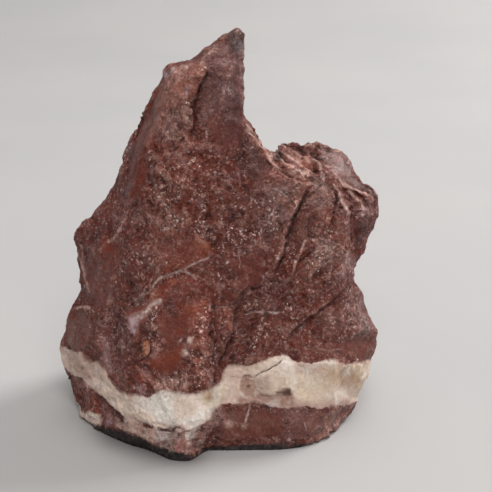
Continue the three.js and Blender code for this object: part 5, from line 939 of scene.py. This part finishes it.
# ---- the stone's material ---------------------------------------------------------------------------
class Nodes:
    def __init__(self, name):
        self.material = bpy.data.materials.new(name)
        self.material.use_nodes = True
        self.tree = self.material.node_tree
        self.tree.nodes.clear()
        self.where = self.new("ShaderNodeTexCoord").outputs["Object"]

    def new(self, kind, **settings):
        n = self.tree.nodes.new(kind)
        for k, v in settings.items():
            setattr(n, k, v)
        return n

    def put(self, socket, value):
        if isinstance(value, bpy.types.NodeSocket):
            self.tree.links.new(value, socket)
        elif value is not None:
            if not isinstance(value, (int, float)) and len(socket.default_value) == 4 and len(value) == 3:
                value = (*value, 1)
            socket.default_value = value

    def math(self, op, a, b=None, c=None, clamp=False):
        n = self.new("ShaderNodeMath", operation=op, use_clamp=clamp)
        for s, x in zip(n.inputs, (a, b, c)):
            self.put(s, x)
        return n.outputs[0]

    def add(self, a, b): return self.math("ADD", a, b)
    def sub(self, a, b): return self.math("SUBTRACT", a, b)
    def mul(self, a, b): return self.math("MULTIPLY", a, b)
    def most(self, a, b): return self.math("MAXIMUM", a, b)

    def ramp(self, x, lo, hi, out_lo=0.0, out_hi=1.0, smoothly=True):
        n = self.new("ShaderNodeMapRange", interpolation_type="SMOOTHSTEP" if smoothly else "LINEAR", clamp=True)
        for s, v in zip((n.inputs[0], n.inputs[1], n.inputs[2], n.inputs[3], n.inputs[4]), (x, lo, hi, out_lo, out_hi)):
            self.put(s, v)
        return n.outputs[0]

    def scaled(self, x):
        n = self.new("ShaderNodeCombineColor")
        for s in n.inputs:
            self.put(s, x)
        return n.outputs[0]

    def mix(self, f, a, b, blend="MIX"):
        n = self.new("ShaderNodeMix", data_type="RGBA", blend_type=blend, clamp_factor=True)
        self.put(n.inputs[0], f)
        self.put(n.inputs[6], a)
        self.put(n.inputs[7], b)
        return n.outputs[2]

    def at(self, size, move=(0, 0, 0), stretch=(1, 1, 1), turn=(0, 0, 0)):
        """The place in units of so many mm."""
        n = self.new("ShaderNodeMapping")
        self.put(n.inputs["Vector"], self.where)
        n.inputs["Location"].default_value = move
        n.inputs["Rotation"].default_value = turn
        n.inputs["Scale"].default_value = [1000 / size * s for s in stretch]
        return n.outputs[0]

    def noise(self, size, detail=2.0, rough=0.5, twist=0.0, move=(0, 0, 0), stretch=(1, 1, 1), turn=(0, 0, 0)):
        n = self.new("ShaderNodeTexNoise")
        self.put(n.inputs["Vector"], self.at(size, move, stretch, turn))
        n.inputs["Scale"].default_value = 1.0
        n.inputs["Detail"].default_value = detail
        n.inputs["Roughness"].default_value = rough
        n.inputs["Distortion"].default_value = twist
        return n.outputs["Fac"]

    def cells(self, size, move=(0, 0, 0), what="Color", feature="F1", stretch=(1, 1, 1), turn=(0, 0, 0), vector=None):
        n = self.new("ShaderNodeTexVoronoi", feature=feature)
        self.put(n.inputs["Vector"], vector or self.at(size, move, stretch, turn))
        n.inputs["Scale"].default_value = 1.0
        return n.outputs[what]

    def attribute(self, name, colour=False):
        n = self.new("ShaderNodeAttribute", attribute_type="GEOMETRY", attribute_name=name)
        return n.outputs["Color" if colour else "Fac"]

    def bump(self, height, strength, distance, below=None):
        n = self.new("ShaderNodeBump")
        self.put(n.inputs["Strength"], strength)
        n.inputs["Distance"].default_value = distance
        self.put(n.inputs["Height"], height)
        if below:
            self.put(n.inputs["Normal"], below)
        return n.outputs[0]

    def line(self, name):
        """1 along a marked line, 0 away from it, worn through here and there."""
        d = self.math("ABSOLUTE", self.add(self.attribute(name), self.jitter))
        w = self.attribute(name + "_w")
        k = self.math("SUBTRACT", 1.0, self.math("DIVIDE", d, self.most(w, 0.02)), clamp=True)
        return self.mul(self.mul(self.ramp(k, 0.0, 1.0), self.attribute(name + "_s")), self.worn_through)

    def vector(self, op, a, b, out=0):
        n = self.new("ShaderNodeVectorMath", operation=op)
        self.put(n.inputs[0], a)
        if b is not None:
            self.put(n.inputs[3 if op == "SCALE" else 1], b)
        return n.outputs[out]

    def crystal_edges(self, size, move, bend):
        """Distance to the border between neighbouring crystals, so many mm across, in units of that size."""
        n = self.new("ShaderNodeTexVoronoi", feature="DISTANCE_TO_EDGE")
        place = self.at(size, move)
        wobble = self.new("ShaderNodeTexNoise")
        self.put(wobble.inputs["Vector"], place)
        wobble.inputs["Scale"].default_value, wobble.inputs["Detail"].default_value = 1.1, 3.0
        self.put(n.inputs["Vector"], self.vector("ADD", place, self.vector("SCALE", self.vector("SUBTRACT", wobble.outputs["Color"], (0.5, 0.5, 0.5)), 2 * bend)))
        n.inputs["Scale"].default_value = 1.0
        return n.outputs["Distance"]

    def facets(self, size, move, bend=0.35):
        """Small flat breaks at random tilts, so many mm across: their height in mm at a tilt of 45 degrees, a random number for each and the distance from its middle."""
        place = self.at(size, move)
        wobble = self.new("ShaderNodeTexNoise")
        self.put(wobble.inputs["Vector"], place)
        wobble.inputs["Scale"].default_value, wobble.inputs["Detail"].default_value = 1.3, 2.0
        place = self.vector("ADD", place, self.vector("SCALE", self.vector("SUBTRACT", wobble.outputs["Color"], (0.5, 0.5, 0.5)), 2 * bend))
        n = self.new("ShaderNodeTexVoronoi")
        self.put(n.inputs["Vector"], place)
        n.inputs["Scale"].default_value = 1.0
        tilt = self.vector("SUBTRACT", n.outputs["Color"], (0.5, 0.5, 0.5))
        height = self.vector("DOT_PRODUCT", self.vector("SUBTRACT", place, n.outputs["Position"]), tilt, 1)
        part = self.new("ShaderNodeSeparateColor")
        self.put(part.inputs[0], n.outputs["Color"])
        return self.mul(height, 2 * size), part.outputs[0], n.outputs["Distance"]


m = Nodes("red_calcite")
m.jitter = m.add(m.mul(m.sub(m.noise(1.1, 3, 0.6), 0.5), 0.6), m.mul(m.sub(m.noise(3.1, 1, 0.5, move=(4, 1, 2)), 0.5), 0.45))
m.worn_through = m.ramp(m.noise(1.9, 3, 0.6, move=(2, 9, 9)), 0.34, 0.60, 0.35, 1.0)
sugar, wax, proudness = m.attribute("sugar"), m.attribute("waxy"), m.attribute("proud")
grain_h, grain_r, grain_d = m.facets(1.25, (3, 5, 7))
crumb_h, crumb_r, crumb_d = m.facets(0.50, (8, 1, 4))
chip_h, chip_r, chip_d = m.facets(2.9, (1, 8, 6), 0.5)

# red-brown calcite: tint, then broad, middling and small drifts of colour
rock = m.attribute("tint", colour=True)
big, middle, small = m.noise(23, 3, 0.55, 0.4), m.noise(6.5, 5, 0.64, 0.6, move=(3, 7, 1)), m.noise(2.2, 5, 0.66, 0.3, move=(9, 2, 5))
rock = m.mix(m.ramp(big, 0.36, 0.64, 0.0, 0.30), rock, m.mix(1.0, rock, (0.76, 0.60, 0.57), "MULTIPLY"))
rock = m.mix(m.ramp(middle, 0.55, 0.75, 0.0, 0.24), rock, tuple(lin(140, 92, 84)))
rock = m.mix(m.ramp(middle, 0.50, 0.32, 0.0, 0.60), rock, tuple(lin(82, 37, 30)))
clean = m.mul(m.ramp(m.noise(3.4, 4, 0.62, 0.4, move=(4, 1, 1)), 0.48, 0.62), m.ramp(m.noise(11, 2, 0.5, move=(3, 3, 5)), 0.38, 0.58, 0.30, 1.0))
rock = m.mix(m.mul(clean, 0.65), rock, m.mix(1.0, rock, (1.05, 0.76, 0.62), "MULTIPLY"))
murky = m.mul(m.ramp(m.noise(4.4, 4, 0.64, 0.5, move=(9, 4, 4)), 0.54, 0.68), m.ramp(wax, 0.0, 1.0, 1.0, 0.4))
rock = m.mix(m.mul(murky, 0.36), rock, tuple(lin(124, 90, 93)))
rock = m.mix(m.mul(m.ramp(small, 0.44, 0.27), m.ramp(wax, 0.0, 1.0, 0.52, 0.30)), rock, tuple(lin(62, 31, 26)))
rock = m.mix(m.mul(m.ramp(small, 0.54, 0.72), m.ramp(sugar, 0.0, 1.0, 0.03, 0.22)), rock, tuple(lin(158, 112, 102)))
# lighter along the raised splinters and ribs, darker in their grooves: partly their own colour, partly painted light
# and shade
rock = m.mix(m.ramp(m.attribute("streak"), 0.1, 0.9, 0.0, 0.55), rock, tuple(lin(190, 142, 128)))
rock = m.mix(m.ramp(m.attribute("streak"), -0.1, -0.9, 0.0, 0.60), rock, tuple(lin(66, 30, 25)))
# each grain its own shade
few = m.sub(1.0, clean)
rock = m.mix(m.mul(m.ramp(grain_r, 0.42, 0.0), m.ramp(wax, 0.0, 1.0, 0.34, 0.06)), rock, tuple(lin(60, 30, 26)))
rock = m.mix(m.mul(m.mul(m.ramp(grain_r, 0.82, 0.90), few), m.ramp(sugar, 0.0, 1.0, 0.06, 0.30)), rock, tuple(lin(176, 132, 122)))
# milky threads, strokes and crumbs of crystal; the white crumbs are partly pale crystal, partly painted glints
threads = m.ramp(m.math("ABSOLUTE", m.sub(m.noise(4.6, 5, 0.70, 1.0, move=(1, 5, 8)), 0.5)), 0.028, 0.0)
where_threads = m.mul(m.ramp(m.noise(7.5, 2, 0.5, move=(6, 6, 1)), 0.46, 0.64), m.ramp(wax, 0.0, 1.0, 1.0, 0.08))
rock = m.mix(m.mul(m.mul(threads, where_threads), 0.6), rock, tuple(lin(178, 142, 138)))
crowded = m.noise(5.2, 4, 0.66, 0.5, move=(5, 3, 9))
where_crumbs = m.mul(m.mul(m.ramp(crowded, 0.49, 0.62), m.ramp(sugar, 0.0, 0.8, 0.26, 1.0)), m.ramp(wax, 0.0, 1.0, 1.0, 0.08))
rock = m.mix(m.mul(where_crumbs, 0.14), rock, tuple(lin(152, 110, 102)))
dark_by = m.mul(m.ramp(m.noise(0.95, 3, 0.62, move=(1, 9, 9)), 0.46, 0.36), m.ramp(crowded, 0.42, 0.56, 0.15, 1.0))
rock = m.mix(m.mul(dark_by, m.ramp(wax, 0.0, 1.0, 0.50, 0.15)), rock, tuple(lin(50, 26, 23)))
breaks = m.ramp(m.noise(1.5, 3, 0.66, move=(8, 8, 3)), 0.50, 0.60)
breaks2 = m.ramp(m.noise(1.2, 3, 0.66, move=(2, 1, 7)), 0.55, 0.61)
stroke = m.mul(m.ramp(m.math("ABSOLUTE", m.sub(m.noise(2.6, 4, 0.60, 0.9, move=(3, 3, 3)), 0.5)), 0.050, 0.020), breaks)
stroke2 = m.mul(m.ramp(m.math("ABSOLUTE", m.sub(m.noise(1.25, 3, 0.6, 0.7, move=(6, 2, 8)), 0.5)), 0.085, 0.040), breaks2)
rock = m.mix(m.mul(stroke, m.add(m.mul(where_crumbs, 0.72), m.ramp(wax, 0.0, 1.0, 0.20, 0.05))), rock, tuple(lin(210, 164, 150)))
rock = m.mix(m.mul(stroke2, m.add(m.mul(where_crumbs, 0.80), m.ramp(wax, 0.0, 1.0, 0.08, 0.02))), rock, tuple(lin(226, 186, 174)))
crumbs_and_glints = m.mul(m.ramp(crumb_r, 0.90, 0.91), m.ramp(m.noise(0.6, 3, 0.65, move=(4, 4, 8)), 0.44, 0.52))
rock = m.mix(m.mul(crumbs_and_glints, m.add(m.mul(where_crumbs, 0.70), m.ramp(wax, 0.0, 1.0, 0.20, 0.04))), rock, tuple(lin(250, 226, 220)))
rock = m.mix(1.0, rock, m.scaled(m.ramp(m.noise(0.42, 2, 0.6, move=(5, 2, 6)), 0.30, 0.70, 0.78, 1.26)), "MULTIPLY")
# worn edges pale, hollows dark with painted shade
worn = m.mul(m.ramp(proudness, 0.05, 0.40), m.ramp(m.noise(1.4, 4, 0.65, move=(7, 1, 1)), 0.38, 0.60))
rock = m.mix(m.mul(worn, 0.50), rock, tuple(lin(186, 140, 126)))
rock = m.mix(m.ramp(proudness, -0.08, -0.50, 0.0, 0.60), rock, tuple(lin(52, 24, 21)))
rock = m.mix(m.attribute("shade"), rock, m.mix(1.0, rock, (0.36, 0.30, 0.28), "MULTIPLY"))
# pale worn edges and painted highlights along the ridges and crests
rock = m.mix(m.mul(m.ramp(m.attribute("pale_wear_and_highlight"), 0.75, 0.1), m.ramp(m.noise(1.7, 3, 0.6, move=(3, 6, 6)), 0.40, 0.56, 0.05, 0.85)), rock, tuple(lin(206, 164, 152)))
rock = m.mix(m.mul(m.attribute("glint"), m.ramp(m.noise(0.7, 3, 0.65, move=(3, 3, 9)), 0.42, 0.54, 0.15, 0.95)), rock, tuple(lin(236, 208, 200)))
# lighter and darker places: partly the stone's own tone, partly painted light and shade
rock = m.mix(1.0, rock, m.scaled(m.attribute("gain")), "MULTIPLY")
# veinlets, and cracks painted dark, partly as painted shade inside them
rock = m.mix(m.line("veinlet"), rock, m.mix(m.ramp(m.noise(1.2, 2, 0.5), 0.35, 0.65), tuple(lin(186, 148, 142)), tuple(lin(226, 206, 200))))
rock = m.mix(m.mul(m.line("crack"), 0.60), rock, tuple(lin(34, 15, 14)))

# the pale vein
vein_edge = m.add(m.add(m.attribute("vein"), m.mul(m.sub(m.noise(1.6, 4, 0.62, move=(3, 1, 6)), 0.5), 1.5)), -0.12)
is_vein = m.ramp(vein_edge, m.ramp(m.noise(8, 2, 0.5, move=(1, 4, 9)), 0.40, 0.62, -0.22, -0.75), m.ramp(m.noise(8, 2, 0.5, move=(1, 4, 9)), 0.40, 0.62, 0.22, 0.75))
cloud, wisp = m.noise(6.2, 3, 0.5, 0.6, move=(2, 4, 4)), m.noise(2.3, 3, 0.5, 0.3, move=(8, 5, 2))
white = m.attribute("pale_tint", colour=True)
white = m.mix(m.ramp(cloud, 0.50, 0.68, 0.0, 0.45), white, tuple(lin(250, 243, 235)))
white = m.mix(m.ramp(cloud, 0.48, 0.30, 0.0, 0.38), white, tuple(lin(196, 170, 148)))
white = m.mix(m.ramp(wisp, 0.54, 0.74, 0.0, 0.28), white, tuple(lin(252, 247, 240)))
white = m.mix(m.ramp(wisp, 0.45, 0.27, 0.0, 0.22), white, tuple(lin(184, 156, 136)))
white = m.mix(m.mul(m.ramp(m.noise(2.2, 3, 0.6, move=(9, 9, 1)), 0.62, 0.72), 0.3), white, tuple(lin(176, 144, 108)))
white = m.mix(m.mul(m.attribute("rosy"), m.ramp(m.noise(1.1, 3, 0.6, move=(5, 5, 5)), 0.25, 0.60, 0.55, 1.0)), white, tuple(lin(162, 124, 106)))
# a disc's dark centre, and painted shade in the vein's hole and pits
white = m.mix(m.attribute("murk_and_pit_shade"), white, tuple(lin(86, 54, 45)))
# painted shade in the vein's hollows
white = m.mix(m.ramp(proudness, -0.08, -0.45, 0.0, 0.25), white, tuple(lin(126, 100, 84)))
rim = m.mul(m.ramp(vein_edge, 1.2, 0.0), m.ramp(m.noise(2.6, 3, 0.55, move=(6, 2, 2)), 0.34, 0.60))
white = m.mix(m.mul(rim, 0.45), white, tuple(lin(194, 152, 142)))
# the second, pinkish band near the foot, half broken up
second_edge = m.add(m.attribute("second"), m.mul(m.sub(m.noise(2.6, 5, 0.60, 0.5, move=(7, 7, 2)), 0.5), 2.2))
mottle = m.attribute("mottle")
gaps = m.mul(m.ramp(m.noise(4.2, 4, 0.58, 0.5, move=(3, 8, 8)), 0.60, 0.42), m.mul(mottle, 0.55))
is_second = m.mul(m.ramp(second_edge, -0.45, 0.45), m.sub(1.0, gaps))
blush = m.attribute("pale_tint", colour=True)
blush = m.mix(m.ramp(m.noise(3.0, 4, 0.6, 0.3, move=(5, 1, 3)), 0.60, 0.42, 0.0, 0.5), blush, tuple(lin(186, 146, 138)))
blush = m.mix(m.ramp(wisp, 0.52, 0.66, 0.0, 0.30), blush, tuple(lin(244, 236, 230)))
blush = m.mix(m.mul(m.ramp(m.noise(1.5, 3, 0.6, move=(1, 6, 3)), 0.42, 0.32), m.ramp(mottle, 0.0, 1.0, 0.12, 0.60)), blush, tuple(lin(84, 60, 58)))
glassy = m.mul(m.mul(mottle, m.ramp(m.attribute("second"), -1.2, 1.0)), m.ramp(m.noise(2.4, 3, 0.6, move=(7, 9, 9)), 0.56, 0.64))
rock = m.mix(m.mul(glassy, 0.75), rock, tuple(lin(50, 40, 41)))

colour = m.mix(m.mul(is_second, 0.92), rock, blush)
colour = m.mix(is_vein, colour, white)
# dark cracks across the vein, partly painted shade inside them
colour = m.mix(m.mul(m.line("vcrack"), 0.95), colour, tuple(lin(66, 42, 34)))
# painted shade: the undercut strip along the foot's front edge made near-black
colour = m.mix(m.attribute("undercut_painted_shade"), colour, tuple(lin(46, 38, 36)))

roughness = m.ramp(m.noise(2.2, 4, 0.6, move=(4, 4, 4)), 0.3, 0.7, 0.38, 0.64)
roughness = m.add(m.sub(roughness, m.mul(wax, 0.12)), m.mul(m.attribute("dull"), 0.40))
roughness = m.math("SUBTRACT", m.add(roughness, m.mul(is_vein, 0.04)), m.mul(m.ramp(m.cells(0.7, (7, 3, 2), "Distance"), 0.30, 0.1), 0.2), clamp=True)

grit = m.sub(m.noise(0.5, 4, 0.65, move=(1, 1, 2)), 0.5)
lumps = m.sub(m.noise(1.8, 5, 0.62, move=(5, 2, 2)), 0.5)
rough_here = m.mul(m.ramp(sugar, 0.0, 1.0, 0.55, 1.0), m.ramp(wax, 0.0, 1.0, 1.0, 0.35))
height = m.add(m.mul(grain_h, 0.70), m.mul(crumb_h, 0.95))
height = m.add(height, m.mul(chip_h, 0.22))
quiet = m.mul(m.ramp(is_vein, 0.0, 1.0, 1.0, 0.38), m.ramp(wax, 0.0, 1.0, 1.0, 0.60))
rough_here = m.mul(rough_here, m.ramp(is_vein, 0.0, 1.0, 1.0, 0.40))
height = m.add(m.mul(height, rough_here), m.add(m.mul(grit, m.mul(rough_here, 0.34)), m.mul(lumps, m.mul(quiet, 0.42))))
surface = m.bump(height, 1.0, 0.001)

bsdf = m.new("ShaderNodeBsdfPrincipled")
m.put(bsdf.inputs["Base Color"], colour)
m.put(bsdf.inputs["Roughness"], roughness)
m.put(bsdf.inputs["Normal"], surface)
bsdf.inputs["IOR"].default_value = 1.5
bsdf.inputs["Specular IOR Level"].default_value = 0.36
m.put(m.new("ShaderNodeOutputMaterial").inputs["Surface"], bsdf.outputs[0])
mesh.materials.append(m.material)

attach(piece, "root")
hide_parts("calcite_specimen")

# ---- floor, light and camera --------------------------------------------------------------------
bends = [(-0.9, 0.0)] + [(0.55 + 0.5 * math.sin(a), 0.5 - 0.5 * math.cos(a)) for a in np.radians(np.arange(0, 91, 6))] + [(1.05, 2.0)]
verts = [(x, y, z) for y, z in bends for x in (-2.2, 2.2)]
faces = [(2 * i, 2 * i + 1, 2 * i + 3, 2 * i + 2) for i in range(len(bends) - 1)]
sweep = bpy.data.meshes.new("pale_sweep")
sweep.from_pydata(verts, [], faces)
sweep.polygons.foreach_set("use_smooth", [True] * len(faces))
floor = bpy.data.objects.new("floor", sweep)
bpy.context.scene.collection.objects.link(floor)
f = Nodes("pale_floor")
paper = f.mix(f.ramp(f.noise(160, 3, 0.5), 0.3, 0.7), tuple(lin(176, 175, 175)), tuple(lin(180, 178, 177)))
# painted contact shadow: the floor's colour darkened by ambient occlusion near the stone, only in front of it and to
# its left, by ramps on the floor's x and y
close = f.new("ShaderNodeAmbientOcclusion", samples=12)
close.inputs["Distance"].default_value = 0.014
side = f.new("ShaderNodeSeparateXYZ")
f.put(side.inputs[0], f.where)
painted_contact_shadow = f.mul(f.mul(f.ramp(close.outputs["AO"], 0.97, 0.45), f.ramp(side.outputs[0], 0.001, -0.009)), f.ramp(side.outputs[1], 0.001, -0.012))
painted_contact_shadow = f.mul(painted_contact_shadow, f.ramp(side.outputs[0], -0.038, -0.026, 0.15, 1.0))
paper = f.mix(f.mul(painted_contact_shadow, 0.85), paper, tuple(lin(70, 66, 64)))
plain = f.new("ShaderNodeBsdfPrincipled")
f.put(plain.inputs["Base Color"], paper)
plain.inputs["Roughness"].default_value = 0.85
plain.inputs["Specular IOR Level"].default_value = 0.2
f.put(plain.inputs["Normal"], f.bump(f.noise(1.2, 3, 0.6), 0.08, 0.0002))
f.put(f.new("ShaderNodeOutputMaterial").inputs["Surface"], plain.outputs[0])
sweep.materials.append(f.material)

world = bpy.data.worlds.new("soft_room")
bpy.context.scene.world = world
world.use_nodes = True
world.node_tree.nodes["Background"].inputs["Color"].default_value = (1.0, 0.985, 0.975, 1)
world.node_tree.nodes["Background"].inputs["Strength"].default_value = 0.22


def light(name, place, aim, size, power, colour=(1, 1, 1)):
    data = bpy.data.lights.new(name, "AREA")
    data.shape, data.size, data.energy, data.color = "DISK", size, power, colour
    o = bpy.data.objects.new(name, data)
    bpy.context.scene.collection.objects.link(o)
    o.location = place
    o.rotation_euler = (Vector(aim) - Vector(place)).to_track_quat("-Z", "Y").to_euler()
    return o


light("window", (0.85, 0.50, 0.90), (0, 0, 0.03), 0.45, 13.0, (1.0, 0.995, 0.99))
light("overhead", (-0.05, 0.0, 1.35), (0, 0, 0.03), 1.1, 5.0, (1.0, 0.985, 0.97))
light("room", (0.20, -1.15, 1.25), (0, 0, 0.04), 1.1, 15.5, (1.0, 0.985, 0.97))
light("far", (0.0, 0.85, 1.30), (0, 0.85, 0), 1.2, 3.0, (1.0, 0.99, 0.985))

camera = bpy.data.objects.new("camera", bpy.data.cameras.new("camera"))
bpy.context.scene.collection.objects.link(camera)
camera.data.sensor_width = 36.0
camera.data.lens = 36.0 * SCALE / (2 * MID)
camera.data.clip_start, camera.data.clip_end = 0.01, 20
camera.location = Vector((EYE - SHIFT) / 1000)
camera.rotation_euler = (math.radians(70), 0, 0)
bpy.context.scene.camera = camera
bpy.context.scene.view_settings.view_transform = "Standard"

bpy.context.view_layer.update()
